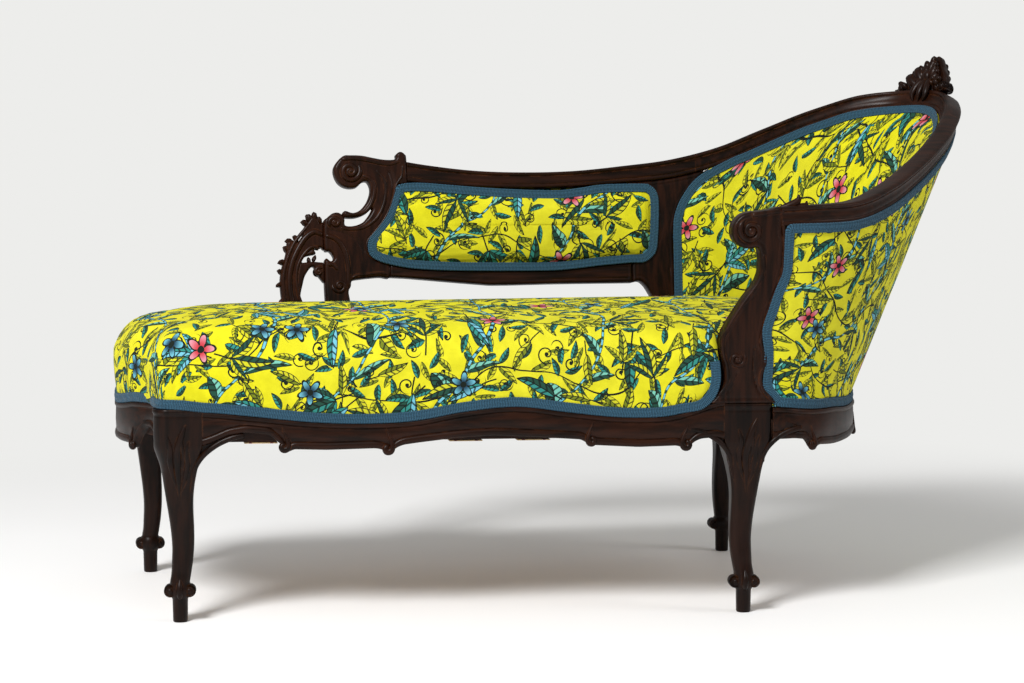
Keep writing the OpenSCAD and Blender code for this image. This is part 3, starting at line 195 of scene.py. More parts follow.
start_shift = arm_leg + front_dir * leg_half + front_out * face_out - curve(sill_points, sill_from)
end_shift = back_right + [back_half, back_half - 1.5] - curve(sill_points, sill_to)


def head_face(s):
    s = np.asarray(s, float)
    a, b = 1 - ease((s - sill_from) / 2), ease((s - sill_to + 2) / 2)
    return curve(sill_points, s) + start_shift * a[..., None] + end_shift * b[..., None]


def head_out(s):
    s = np.asarray(s, float)
    a = unit(mix(front_out, sill_side(s), ease((s - sill_from) / 1.5)[..., None]))
    b = unit(mix(sill_side(s), np.array([0.0, 1.0]), ease((s - sill_to + 2) / 2)[..., None]))
    return np.where((s < sill_to - 2)[..., None], a, b)


def sill_top(s):
    k = np.clip((np.asarray(s, float) - sill_from) / (sill_to - sill_from), 0, 1)
    line = [0.82, 0.735, 0.69, 0.61, 0.58, 0.575, 0.58, 0.6, 0.68, 0.78, 0.9]
    return rail_low + rail_band * curve(line, k * 10)


def wall_up(s):
    """Direction up the wall: from the sill to the rim, turning into the back's rake."""
    s = np.asarray(s, float)
    q = curve(sill_points, np.minimum(s, 14))
    v = unit(rim(s) - stack(q[..., 0], q[..., 1], sill_top(s)))
    w = unit(mix(v, back_up, ease((s - 12) / 2)[..., None]))
    return np.where((s > wall_end)[..., None], back_up, w)


def rim_dir(s):
    return unit(rim(np.asarray(s) + 0.05) - rim(np.asarray(s) - 0.05))


def wall_out(s):
    return unit(np.cross(rim_dir(s), wall_up(s)))


def wall_foot(s):
    q, o = head_face(s), head_out(s)
    return stack(q[..., 0] - o[..., 0] * 18, q[..., 1] - o[..., 1] * 18, sill_top(s) + tack_h)


def wall_head(s):
    return rim(s) - wall_up(s) * (rim_half(s) + 0.3)[..., None]


def wall(s, v):
    return mix(wall_foot(s), wall_head(s), np.asarray(v, float)[..., None])


post_right_line = np.array([
    [0, 0.39], [0.02, 0.37], [0.06, 0.24], [0.106, 0.21], [0.152, 0.21], [0.205, 0.27], [0.245, 0.27],
    [0.321, 0.19], [0.387, 0.22], [0.44, 0.27], [0.566, 0.39], [0.669, 0.5], [0.778, 0.53], [0.887, 0.55],
    [1, 0.55]])


def wall_from(v):
    v = np.asarray(v, float)
    z = wall(np.ones_like(v), v)[..., 2]
    a, b = wall(np.zeros_like(v), v)[..., 0], wall(np.ones_like(v), v)[..., 0]
    edge = arm_leg[0] + post_wide * np.interp((z - block_top) / post_tall, *post_right_line.T)
    return (edge + 2.1 - a) / (b - a)


def wall_to(v):
    return wall_end - 0.8 * np.clip((np.asarray(v) - 0.68) / 0.32, 0, 1) ** 2.6


def wall_at(u, v):
    return mix(wall_from(v), wall_to(v), u)


def wall_point(u, v, o):
    s = wall_at(u, v)
    return wall(s, v) + wall_out(s) * np.asarray(o, float)[..., None]


print("rim at its highest:", rim(np.linspace(0, 19, 200))[:, 2].max().round(), "mm")

# %% [markdown]
# ## Turning grids into meshes
#
# A grid of points, closed round one way or both, is the plainest way to a smooth surface: quads
# join neighbours, and a many-sided face closes each end. A shape here is three things, its points,
# its faces and its place on the flat cloth, so that shapes can be joined before they become a mesh.

# %% Shapes
def grid_faces(n, m, wrap_rows=False, wrap_cols=False, start=0):
    """Quads of a grid with n rows of m points, as an array of corner numbers."""
    i = np.arange(n if wrap_rows else n - 1)[:, None]
    j = np.arange(m if wrap_cols else m - 1)[None, :]
    a, b = i * m + j, ((i + 1) % n) * m + j
    c, d = ((i + 1) % n) * m + (j + 1) % m, i * m + (j + 1) % m
    return start + np.stack(np.broadcast_arrays(a, b, c, d), -1).reshape(-1, 4)


def tube(rings, uv=None, loop=False):
    """Closed surface through n rings of m points; a loop joins its last ring to its first."""
    rings = np.asarray(rings, float)
    n, m = rings.shape[:2]
    faces = grid_faces(n, m, wrap_rows=loop, wrap_cols=True).tolist()
    if not loop:
        faces += [list(range(m))[::-1], list(range((n - 1) * m, n * m))]
    return rings.reshape(-1, 3), faces, None if uv is None else uv.reshape(-1, 2)


def slab(outer, inner, uv=None, ring=False):
    """Closed sheet between two equal grids, joined along their edges; ring wraps the second way."""
    n, m = outer.shape[:2]
    q = n * m
    faces = grid_faces(n, m, wrap_cols=ring).tolist() + grid_faces(n, m, wrap_cols=ring, start=q).tolist()
    if ring:
        edges = [np.arange(m), (n - 1) * m + np.arange(m)]
    else:
        edges = [np.concatenate([np.arange(m), np.arange(1, n) * m + m - 1,
                                 (n - 1) * m + np.arange(m - 2, -1, -1), np.arange(n - 2, 0, -1) * m])]
    for e in edges:
        nxt = np.roll(e, -1)
        faces += np.stack([e, nxt, nxt + q, e + q], -1).tolist()
    points = np.concatenate([outer.reshape(-1, 3), inner.reshape(-1, 3)])
    return points, faces, None if uv is None else np.concatenate([uv.reshape(-1, 2)] * 2)


def join(*shapes):
    """Several shapes as one."""
    points, faces, places, start = [], [], [], 0
    for p, f, uv in shapes:
        points.append(p)
        faces += [[k + start for k in face] for face in f]
        places.append(np.zeros((len(p), 2)) if uv is None else uv)
        start += len(p)
    return np.concatenate(points), faces, np.concatenate(places)


def swept(path, radii, sides=10, flat=1.0, up=UP):
    """Round bar along a path: each ring stands across the path's direction, at its own radius."""
    path = np.asarray(path, float)
    d = unit(np.gradient(path, axis=0))
    side = unit(np.cross(d, up))
    top = np.cross(side, d)
    a = np.linspace(0, 2 * np.pi, sides, endpoint=False)[None, :, None]
    r = np.asarray(radii, float)[:, None, None]
    return tube(path[:, None] + r * (side[:, None] * np.cos(a) + top[:, None] * np.sin(a) * flat))


def make(name, shape, material, node):
    """Makes the mesh and object, points its faces outwards and ties it to the frame."""
    points, faces, uv = shape
    mesh = bpy.data.meshes.new(name)
    mesh.from_pydata((np.asarray(points, float) * MM).tolist(), [], faces)
    if uv is not None:
        layer_uv = mesh.uv_layers.new(name="cloth")
        at = np.zeros(len(mesh.loops), np.int32)
        mesh.loops.foreach_get("vertex_index", at)
        layer_uv.data.foreach_set("uv", np.asarray(uv, float)[at].astype(np.float32).ravel())
    work = bmesh.new()
    work.from_mesh(mesh)
    bmesh.ops.recalc_face_normals(work, faces=work.faces)
    work.to_mesh(mesh)
    work.free()
    mesh.polygons.foreach_set("use_smooth", np.full(len(mesh.polygons), True))
    mesh.set_sharp_from_angle(angle=math.radians(50))
    mesh.materials.append(material)
    piece = bpy.data.objects.new(name, mesh)
    bpy.context.scene.collection.objects.link(piece)
    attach(piece, "root")
    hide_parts(node)
    print(name, len(faces), "faces")
    return piece


def carved(name, shape, wood, node):
    return make(name, shape, wood, node)


# %% [markdown]
# ## Finishes: a small kit for patterns
#
# A printed cloth is a drawing, and a drawing can be worked out from the place on the cloth alone. To
# keep such sums readable, a value in a node tree is wrapped so that plus, minus and times write the
# Math nodes. Each pattern is a node group, made once and placed in every material that uses it.

# %% Sums in a node tree
TURN = 6.283


class Value:
    """One number that varies over a surface, as the output of a node."""

    def __init__(self, tree, socket):
        self.tree, self.socket = tree, socket

    def sum(self, operation, *others):
        links = dict(enumerate((self, *others)))
        return Value(self.tree, add(self.tree, "Math", links, operation=operation).outputs[0])

    def __rsub__(self, o): return (self * -1.0) + o

    def ramp(self, a, b):
        """0 below a, 1 above b, and a smooth step between."""
        low, high = (0, 1) if a < b else (1, 0)
        links = {"Value": self, "From Min": min(a, b), "From Max": max(a, b), "To Min": low, "To Max": high}
        return Value(self.tree, add(self.tree, "MapRange", links, interpolation_type="SMOOTHSTEP").outputs["Result"])


# each of these is one Math node; the operators and the named sums are made alike
for name, operation in {
        "__add__": "ADD", "__radd__": "ADD", "__sub__": "SUBTRACT", "__mul__": "MULTIPLY", "__rmul__": "MULTIPLY",
        "__truediv__": "DIVIDE", "abs": "ABSOLUTE", "floor": "FLOOR", "fract": "FRACT", "sin": "SINE",
        "cos": "COSINE", "sqrt": "SQRT", "atan2": "ARCTAN2", "max": "MAXIMUM", "under": "LESS_THAN",
        "over": "GREATER_THAN", "wrap": "FLOORED_MODULO"}.items():
    setattr(Value, name, lambda self, *others, kind=operation: self.sum(kind, *others))


def put(tree, socket, value):
    """Links an output to an input, or sets a plain number or colour on it."""
    value = value.socket if isinstance(value, Value) else value
    if isinstance(value, bpy.types.NodeSocket):
        tree.links.new(value, socket)
    else:
        socket.default_value = value


def add(tree, kind, links=None, **settings):
    """New shader node; links gives its inputs by name or number, settings its own properties."""
    node = tree.nodes.new("ShaderNode" + kind)
    for key, value in settings.items():
        setattr(node, key, value)
    for key, value in (links or {}).items():
        put(tree, node.inputs[key], value)
    return node


def vector(tree, *xyz):
    return add(tree, "CombineXYZ", dict(enumerate(xyz))).outputs[0]


def parts_of(tree, socket):
    return [Value(tree, s) for s in add(tree, "SeparateXYZ", {0: socket}).outputs]


def noise(tree, where, scale, detail=2.0, rough=0.5):
    return add(tree, "TexNoise", {"Vector": where, "Scale": scale, "Detail": detail, "Roughness": rough})


def patches(tree, where, scale, detail=2.0, rough=0.5):
    """The noise's height as one number."""
    return Value(tree, noise(tree, where, scale, detail, rough).outputs[0])


def layer(tree, mask, below, above):
    """Colour above laid over colour below where the mask is 1; each is a socket or a colour."""
    below, above = (c if isinstance(c, bpy.types.NodeSocket) else (*c, 1.0) for c in (below, above))
    return add(tree, "Mix", {"Factor": mask, 6: below, 7: above}, data_type="RGBA").outputs[2]


def tint(code):
    """Linear colour of a six-figure web colour."""
    c = np.array([int(code[i:i + 2], 16) for i in (0, 2, 4)]) / 255
    return tuple(float(x) for x in np.where(c <= 0.04045, c / 12.92, ((c + 0.055) / 1.055) ** 2.4))


def group(name, inputs, outputs):
    """New node group with number inputs (name, value) or vectors (name, None), and typed outputs."""
    tree = bpy.data.node_groups.new(name, "ShaderNodeTree")
    for label, value in inputs:
        kind = "NodeSocketVector" if value is None else "NodeSocketFloat"
        socket = tree.interface.new_socket(label, in_out="INPUT", socket_type=kind)
        if value is not None:
            socket.default_value = value
    for label, kind in outputs:
        tree.interface.new_socket(label, in_out="OUTPUT", socket_type="NodeSocket" + kind)
    return tree, tree.nodes.new("NodeGroupInput"), tree.nodes.new("NodeGroupOutput")


def place(tree, pattern, **inputs):
    """A node group set into a tree, with its inputs by name."""
    node = add(tree, "Group", node_tree=pattern)
    for key, value in inputs.items():
        put(tree, node.inputs[key], value)
    return node


# %% [markdown]
# ## The printed cloth
#
# The cover is a cotton printed all over with foliage: dark-outlined leaves in two tones, trailing
# stems, curled tendrils and a few small flowers on a strong yellow. The drawing here is a plain
# botanical one of that scale. Each motif is drawn in its own little square, which is turned and
# placed by a random point of a cell pattern, and later motifs lie over earlier ones as in a print.

# %% Motifs of the print
def leaf_group():
    """Pointed leaf along x from 0 to 1: its half width is wide * 4x(1-x) to the power 0.8, and it is
    dark at its edge and along its rib, with slanting veins between."""
    tree, start, end = group("leaf", [("X", 0.0), ("Y", 0.0), ("Wide", 0.2), ("Veins", 26.0)],
                             [("Shape", "Float"), ("Line", "Float"), ("Half", "Float")])
    x, y, wide, veins = (Value(tree, s) for s in start.outputs[:4])
    bent = y + (x * (1 - x)) * 0.25
    half = ((x * (1 - x)).max(0.0) * 4.0).sum("POWER", 0.8) * wide * (1.25 - x * 0.5)
    inside = half - bent.abs()
    shape = inside.over(0.0)
    edge = inside.under(0.022)
    rib = bent.abs().under(0.012)
    slope = ((x + bent.abs() * -0.9) * veins).sin()
    vein = slope.over(0.55) * (x.over(0.12)) * 0.85
    line = (edge.max(rib)).max(vein) * shape
    for value, name in ((shape, "Shape"), (line, "Line"), (bent.over(0.0), "Half")):
        put(tree, end.inputs[name], value)
    return tree


def turned(x, y, cos, sin):
    return x * cos + y * sin, y * cos - x * sin


def scatter(tree, where, scale, jitter, seed):
    """Turned local place in the cell of the nearest random point, and the cell's random colour."""
    shifted = add(tree, "VectorMath", {0: where, 1: (seed, seed * 0.37, 0)}, operation="ADD").outputs[0]
    links = {"Vector": shifted, "Scale": scale, "Randomness": jitter}
    cells = add(tree, "TexVoronoi", links, voronoi_dimensions="2D")
    px, py, _ = parts_of(tree, shifted)
    cx, cy, _ = parts_of(tree, cells.outputs["Position"])
    red, green, blue = parts_of(tree, cells.outputs["Color"])
    x, y = (px - cx) * scale, (py - cy) * scale
    angle = red * TURN
    return (*turned(x, y, angle.cos(), angle.sin()), green, blue)


def place_leaf(tree, leaf, x, y, size, wide, veins):
    node = place(tree, leaf, X=x / size, Y=y / size, Wide=wide, Veins=veins)
    return [Value(tree, s) for s in node.outputs]


def print_group():
    """The whole drawing, from the place on the cloth in metres."""
    tree, start, end = group("foliage_print", [("Place", None)], [("Color", "Color")])
    leaf = leaf_group()
    where = start.outputs[0]
    bend = noise(tree, where, 7.0, 1.0).outputs["Color"]
    warp = add(tree, "VectorMath", {0: bend, 1: (0.085, 0.085, 0.0)}, operation="MULTIPLY_ADD")
    put(tree, warp.inputs[2], where)
    ink = tint("141C17")
    lime, moss, deep = tint("BDBB1A"), tint("6A7516"), tint("1F4538")
    teal, mint, sky, navy = tint("2C7F76"), tint("6DB3A0"), tint("67AEC0"), tint("1B3A50")
    pink, red = tint("C98C98"), tint("B5303A")
    spots = patches(tree, where, 38, 3).ramp(0.35, 0.7)
    colour = layer(tree, spots, tint("C6C008"), tint("D2CC10"))

    # Small thin leaves all over, one to a cell
    for seed, scale, wide, tones in ((3.1, 25.0, 0.15, (lime, moss)), (17.3, 28.0, 0.17, (deep, teal))):
        x, y, _, _ = scatter(tree, where, scale, 0.8, seed)
        shape, line, half = place_leaf(tree, leaf, x + 0.42, y, 0.84, wide, 30.0)
        colour = layer(tree, shape, colour, layer(tree, half, *tones))
        colour = layer(tree, line, colour, ink)

    # Trailing stems with leaves on alternate sides, in bent rows; the second family crosses the first
    for k, (pitch, step, swing, phase, fill) in enumerate([(0.112, 0.036, 0.024, 0.0, (lime, moss)),
                                                           (0.165, 0.052, 0.036, 1.9, (mint, deep))]):
        wx, wy, _ = parts_of(tree, warp.outputs[0])
        if k:
            wx, wy = wy * 0.94 + wx * 0.34, wy * 0.34 - wx * 0.94
        row = (wy / pitch).floor()
        along = wx + row * 0.0317
        mid = ((wy / pitch).fract() - 0.5) * pitch
        off = mid - (along * (TURN / (pitch * 2.4)) + phase).sin() * swing
        near = off.abs().under(0.0013 if k == 0 else 0.0029)
        cell = (along / step).floor()
        lx = ((along / step).fract() - 0.15) * step
        ly = off * (cell.wrap(2.0) * 2.0 - 1.0)
        x, y = turned(lx, ly, 0.62, 0.785)
        shape, line, half = place_leaf(tree, leaf, x, y, step * 0.98, 0.17, 26.0)
        keep = ly.over(-0.002)
        colour = layer(tree, shape * keep, colour, layer(tree, half, *fill))
        colour = layer(tree, (line * keep).max(near), colour, ink)
        if k:
            bands = layer(tree, (along * 420.0).sin().over(0.3), sky, deep)
            colour = layer(tree, off.abs().under(0.0018), colour, bands)

    # Curled tendrils: a spiral arm whose distance from the middle grows with the angle
    for seed, scale in ((7.7, 13.5), (29.1, 17.0)):
        x, y, g, _ = scatter(tree, where, scale, 0.85, seed)
        r = (x * x + y * y).sqrt()
        turns = (r / 0.15 - y.atan2(x) / TURN).fract() - 0.5
        curl = turns.abs().under(0.1) * r.under(0.15 + g * 0.08) * r.over(0.03)
        colour = layer(tree, curl.max(r.under(0.04)), colour, ink)

    # Larger leaves, singly or in threes, in yellow-greens and blue-greens
    for seed, scale, tones, chance in ((11.3, 8.6, (deep, teal), 0.5), (23.9, 11.5, (lime, moss), 0.8),
                                       (36.4, 9.0, (lime, deep), 0.55), (5.2, 9.5, (teal, sky), 0.4)):
        x, y, g, b = scatter(tree, where, scale, 0.75, seed)
        here = g.under(chance)
        for turn, size, wide in ((0.0, 0.58, 0.135), (0.8, 0.42, 0.15), (-0.85, 0.38, 0.15)):
            u, v = turned(x + 0.2, y, math.cos(turn), math.sin(turn))
            shape, line, half = place_leaf(tree, leaf, u, v, size, wide, 36.0)
            extra = here if turn == 0.0 else here * b.over(0.45)
            colour = layer(tree, shape * extra, colour, layer(tree, half, *tones))
            colour = layer(tree, line * extra, colour, ink)
        stalk = (y - (x * 9.0).sin() * 0.02).abs().under(0.011) * x.under(-0.18) * x.over(-0.44) * here
        colour = layer(tree, stalk, colour, ink)

    # Small flowers of five petals and their dark eyes, in few of the cells
    for seed, scale, tones, chance in ((31.7, 8.6, (pink, red), 0.26), (41.1, 9.4, (sky, navy), 0.3)):
        x, y, g, _ = scatter(tree, where, scale, 0.65, seed)
        r = (x * x + y * y).sqrt()
        lobe = (y.atan2(x) * 5.0).cos() * 0.055 + 0.135
        here = g.under(chance)
        bloom = r.under(lobe) * here
        edge = (lobe - r).abs().under(0.016) * here
        ray = ((y.atan2(x) * 5.0).cos().under(-0.6)) * r.over(0.05) * bloom
        colour = layer(tree, bloom, colour, layer(tree, (r / 0.19).ramp(0.2, 1.0), tones[1], tones[0]))
        colour = layer(tree, ray.max(edge).max(r.under(0.045) * here), colour, ink)
    put(tree, end.inputs["Color"], colour)
    return tree


def weave_group():
    """Plain weave: threads cross at right angles, each a sine hump over and under its neighbours."""
    tree, start, end = group("weave", [("Place", None), ("Threads", 1800.0)], [("Height", "Float")])
    x, y, _ = parts_of(tree, start.outputs[0])
    n = Value(tree, start.outputs[1])
    a, b = (x * n).sin(), (y * n).sin()
    put(tree, end.inputs["Height"], (a * b) * 0.5 + 0.5 + patches(tree, start.outputs[0], 900, 1) * 0.35)
    return tree


foliage, weave = print_group(), weave_group()
print("nodes in the print:", len(foliage.nodes))

# %% Materials
def material(name, rough, **sockets):
    """Principled material with its constants on the shader's own sockets."""
    m = bpy.data.materials.new(name)
    m.use_nodes = True
    tree = m.node_tree
    shader = next(n for n in tree.nodes if n.type == "BSDF_PRINCIPLED")
    shader.inputs["Roughness"].default_value = rough
    for key, value in sockets.items():
        shader.inputs[key.replace("_", " ")].default_value = value
    return m, tree, shader


def bump(tree, shader, height, strength, distance):
    node = add(tree, "Bump", {"Strength": strength, "Distance": distance, "Height": height})
    put(tree, shader.inputs["Normal"], node.outputs[0])


def coordinates(tree, uv=False):
    """Place on the flat cloth, or place in the room."""
    return add(tree, "UVMap", uv_map="cloth").outputs[0] if uv else add(tree, "TexCoord").outputs["Object"]


def print_material():
    m, tree, shader = material("printed_cotton", 0.85, Sheen_Weight=0.03, Specular_IOR_Level=0.12)
    at = coordinates(tree, uv=True)
    drawn = place(tree, foliage, Place=at).outputs["Color"]
    fade = patches(tree, coordinates(tree), 3.0, 4).ramp(0.3, 0.75)
    dull = add(tree, "HueSaturation", {"Saturation": 0.97, "Value": 0.95, "Color": drawn}).outputs[0]
    put(tree, shader.inputs["Base Color"], layer(tree, fade, dull, drawn))
    bump(tree, shader, place(tree, weave, Place=at, Threads=2600.0).outputs[0], 0.25, 0.0002)
    return m


def wear_highlight_and_shade_group():
    """Edge wear with a painted highlight: how far the surface turns away from its rounded-over copy, broken by noise.
    Painted shade: the hollows, where pointiness is low.
    """
    inputs, outputs = [("Place", None), ("Reach", 0.004)], [("Worn", "Float"), ("Hollow_shade", "Float")]
    tree, start, end = group("edge_wear_highlight_and_shade", inputs, outputs)
    round_over = add(tree, "Bevel", {"Radius": start.outputs[1]}, samples=4)
    plain = add(tree, "NewGeometry")
    links = {0: round_over.outputs[0], 1: plain.outputs["Normal"]}
    same = add(tree, "VectorMath", links, operation="DOT_PRODUCT").outputs["Value"]
    edge = Value(tree, same).ramp(0.985, 0.86)
    # edge wear and painted highlight: the edges that are painted a lighter brown
    put(tree, end.inputs["Worn"], edge * patches(tree, start.outputs[0], 60, 4).ramp(0.4, 0.62))
    # painted shade: the mask is 1 in the hollows of the carving, where pointiness is low
    put(tree, end.inputs["Hollow_shade"], Value(tree, plain.outputs["Pointiness"]).ramp(0.5, 0.42))
    return tree


def grain_group():
    """Wood grain: long streaks along one axis, from noise squeezed across it, with short dark pores."""
    tree, start, end = group("grain", [("Place", None)], [("Tone", "Float"), ("Pores", "Float")])
    x, y, z = parts_of(tree, start.outputs[0])
    put(tree, end.inputs["Tone"], patches(tree, vector(tree, x * 4.0, y * 40.0, z * 40.0), 3.0, 4, 0.55))
    pores = patches(tree, vector(tree, x * 26.0, y * 420.0, z * 420.0), 1.0, 2)
    put(tree, end.inputs["Pores"], pores.ramp(0.62, 0.75))
    return tree


wear_highlight_and_shade, grain = wear_highlight_and_shade_group(), grain_group()


# worn is the lighter brown of the edges: partly wear, partly painted highlight
def wood_material(name, along, dark="0D0502", light="241007", worn="4C2A16", rough=0.36, coat=0.06, gloss=0.1,
                  cloudy="351708"):
    """Polished dark wood whose grain runs along one axis of the piece."""
    m, tree, shader = material(name, rough, Coat_Roughness=0.24, Coat_Weight=coat, Specular_IOR_Level=gloss)
    at = coordinates(tree)
    turn = {"x": (0, 0, 0), "y": (0, 0, -1.5708), "z": (0, 1.5708, 0)}[along]
    g = place(tree, grain, Place=add(tree, "Mapping", {"Rotation": turn, "Vector": at}).outputs[0])
    tone, pores = Value(tree, g.outputs["Tone"]), Value(tree, g.outputs["Pores"])
    w = place(tree, wear_highlight_and_shade, Place=at, Reach=0.0035)
    colour = layer(tree, tone.ramp(0.34, 0.68), tint(dark), tint(light))
    colour = layer(tree, pores * 0.45, colour, tint("120806"))
    colour = layer(tree, patches(tree, at, 5.0, 3).ramp(0.42, 0.72) * 0.35, colour, tint(cloudy))
    # painted shade: the hollows of the carving are darkened with a near black brown
    colour = layer(tree, Value(tree, w.outputs["Hollow_shade"]) * 0.7, colour, tint("0E0705"))
    # the edges get a lighter brown, partly for wear and partly as a painted highlight
    colour = layer(tree, Value(tree, w.outputs["Worn"]) * 0.6, colour, tint(worn))
    put(tree, shader.inputs["Base Color"], colour)
    put(tree, shader.inputs["Roughness"], patches(tree, at, 17.0, 3) * 0.22 + (rough - 0.08))
    bump(tree, shader, pores * -1.0 + tone * 0.6, 0.22, 0.0004)
    return m


def braid_material():
    """Woven gimp: slanting ribs across its width, close together, in dull blue."""
    m, tree, shader = material("blue_braid", 0.85, Sheen_Weight=0.08, Specular_IOR_Level=0.2)
    at = coordinates(tree, uv=True)
    u, v, _ = parts_of(tree, at)
    rib = ((u + (v * 420.0).sin() * 0.0006) * 2500.0).sin()
    strand = (v * 2600.0).sin()
    mottle = patches(tree, at, 900, 2)
    colour = layer(tree, (rib * 0.26 + mottle).ramp(0.05, 0.95), tint("0E202B"), tint("335A70"))
    put(tree, shader.inputs["Base Color"], colour)
    bump(tree, shader, rib * 0.6 + strand * 0.4 + mottle * 0.5, 0.5, 0.0006)
    return m


def cloth_material(name, low, high, threads, stripe=None):
    m, tree, shader = material(name, 0.9, Sheen_Weight=0.15)
    at = coordinates(tree)
    h = Value(tree, place(tree, weave, Place=at, Threads=threads).outputs[0])
    colour = layer(tree, (h * 0.4 + patches(tree, at, 26, 4) * 0.8).ramp(0.3, 0.95), tint(low), tint(high))
    if stripe is not None:
        _, v, _ = parts_of(tree, coordinates(tree, uv=True))
        colour = layer(tree, (v.abs() - 0.016).abs().under(0.0022), colour, tint(stripe))
    put(tree, shader.inputs["Base Color"], colour)
    bump(tree, shader, h, 0.6, 0.0006)
    return m


def steel_material():
    m, tree, shader = material("spring_steel", 0.42, Metallic=0.9)
    rust = patches(tree, coordinates(tree), 120, 4).ramp(0.45, 0.7)
    put(tree, shader.inputs["Base Color"], layer(tree, rust, tint("7E8486"), tint("6A4A35")))
    put(tree, shader.inputs["Roughness"], rust * 0.35 + 0.38)
    bump(tree, shader, rust, 0.2, 0.0003)
    return m


printed = print_material()
wood_x, wood_y, wood_z = (wood_material("dark_wood_" + a, a) for a in "xyz")
leg_wood = wood_material("dark_wood_legs", "z", "080301", "1A0B05", "43250F", cloudy="260F06")
raw_wood = wood_material("plain_wood", "x", "8C6A42", "B58C5C", "C9A375", 0.62, 0.0, 0.4, "A17A4C")
blue_braid = braid_material()
hessian_cloth = cloth_material("hessian", "8E7148", "B99A66", 1700.0)
web_cloth = cloth_material("jute_webbing", "9C7E52", "C2A476", 2600.0, stripe="6E2F28")
hair = cloth_material("horsehair_stuffing", "2E251F", "5A4A3B", 900.0)
steel = steel_material()
print("materials:", [m.name for m in bpy.data.materials])

# %% [markdown]
# ## Legs
#
# Each leg is a cabriole: a square block between the rails, a knee that swells outwards under it, a
# slim ankle that sweeps back in, and a foot of two little scrolls over a round peg. A leaf is carved
# on the knee. One rounded square is carried up the leg, and the leaf is laid on it as flat bars that
# follow its face, which gives the soft relief of hand carving.

# %% Leg shape
def between(table, x):
    """Smooth line through a table of keys and values, by cubics whose slopes are the mean of the
    slopes on either side of each key."""
    table = np.asarray(table, float)
    k, v = table[:, 0], table[:, 1:]
    slope = np.gradient(v, k, axis=0)
    i = np.clip(np.searchsorted(k, x, side="right") - 1, 0, len(k) - 2)
    h = (k[i + 1] - k[i])[:, None]
    t = ((np.clip(x, k[0], k[-1]) - k[i])[:, None]) / h
    return ((2 * t**3 - 3 * t**2 + 1) * v[i] + (t**3 - 2 * t**2 + t) * h * slope[i]
            + (3 * t**2 - 2 * t**3) * v[i + 1] + (t**3 - t**2) * h * slope[i + 1])


leg_line = [  # height share, half width, lean outwards, roundness
    [0.187, 0.4, 0, 0.85], [0.225, 0.4, -0.08, 0.8], [0.271, 0.42, -0.14, 0.75], [0.35, 0.44, -0.2, 0.7],
    [0.437, 0.47, -0.17, 0.65], [0.51, 0.5, -0.1, 0.6], [0.572, 0.54, -0.05, 0.5], [0.63, 0.6, -0.03, 0.42],
    [0.69, 0.69, -0.04, 0.36], [0.745, 0.8, -0.05, 0.3], [0.785, 0.9, -0.03, 0.2], [0.825, 0.98, 0, 0.08],
    [0.86, 1, 0, 0.05], [1, 1, 0, 0.05]]


def leg_middle(z, top, foot, half, out):
    """Centre, half width and roundness of the leg at heights z."""
    w, lean, r = between(leg_line, z / block_top).T
    t = ease((z - 62) / (274 - 62))
    return mix(foot, top, t[:, None]) + out * (half * lean)[:, None], w * half, np.clip(r, 0.02, 1)


def leg_shape(top, foot, half, turn, out, worn, flush):
    """Rounded squares of 96 points up the leg; the corner that faces outwards is worn to a wide round
    and the faces beside it are dressed flush with the rails."""
    z = np.linspace(62, block_top, 118)
    centre, w, r = leg_middle(z, top, foot, half, out)
    low = np.array([[0, 10.4], [1.5, 11.3], [20, 11.6], [35, 11.9], [38, 13.6], [42, 16.5],
                    [48, 18.2], [54, 17.6], [59, 15.6]])
    z = np.concatenate([low[:, 0], z])
    centre = np.concatenate([np.repeat(foot[None], len(low), 0), centre])
    w, r = np.concatenate([low[:, 1], w]), np.concatenate([np.full(len(low), 0.95), r])
    a = np.radians(np.tile(np.linspace(0, 90, 16), 4))[None]
    q = np.repeat(np.arange(4), 16)[None] * np.pi / 2
    cos, sin = math.cos(turn), math.sin(turn)
    turned_by = np.array([[cos, sin], [-sin, cos]])
    corner = np.stack([np.cos(q) - np.sin(q), np.sin(q) + np.cos(q)], -1) @ turned_by
    outer = np.clip(corner @ out / math.sqrt(2), 0, 1) ** 8 * np.clip((z - 195) / 40, 0, 1)[:, None]
    r = r[:, None] + np.maximum(worn - r, 0)[:, None] * outer
    # the straight stretch between two corners gets points of its own by spreading the corner's ends
    flat_w, round_w = w[:, None] * (1 - r), w[:, None] * r
    x = flat_w * (np.cos(q) - np.sin(q)) + round_w * np.cos(q + a)
    y = flat_w * (np.sin(q) + np.cos(q)) + round_w * np.sin(q + a)
    n, m = x.shape
    xy = np.stack([x, y], -1).reshape(n, 4, 16, 2)
    gap = np.roll(xy, -1, axis=1)[:, :, :1]
    fill = np.linspace(0, 1, 10)[1:-1][None, None, :, None]
    xy = np.concatenate([xy, mix(xy[:, :, -1:], gap, fill)], axis=2).reshape(n, 96, 2)
    xy = xy @ turned_by
    for way in flush:
        over = np.maximum(xy @ way - face_out - 0.15, 0) * (z > 200)[:, None]
        xy = xy - way * over[..., None]
    # bead and groove that carry the rails' top edge round the block
    band = (1.9 * np.exp(-((z - 328.4) / 2.9) ** 2) - 0.9 * np.exp(-((z - 322.4) / 1.2) ** 2))[:, None]
    facing = np.clip(xy @ out / half + 0.55, 0, 1) ** 0.5
    xy = xy + unit(xy) * (band * facing)[..., None]
    return tube(np.concatenate([centre[:, None] + xy, np.broadcast_to(z[:, None, None], (n, 96, 1))], -1))


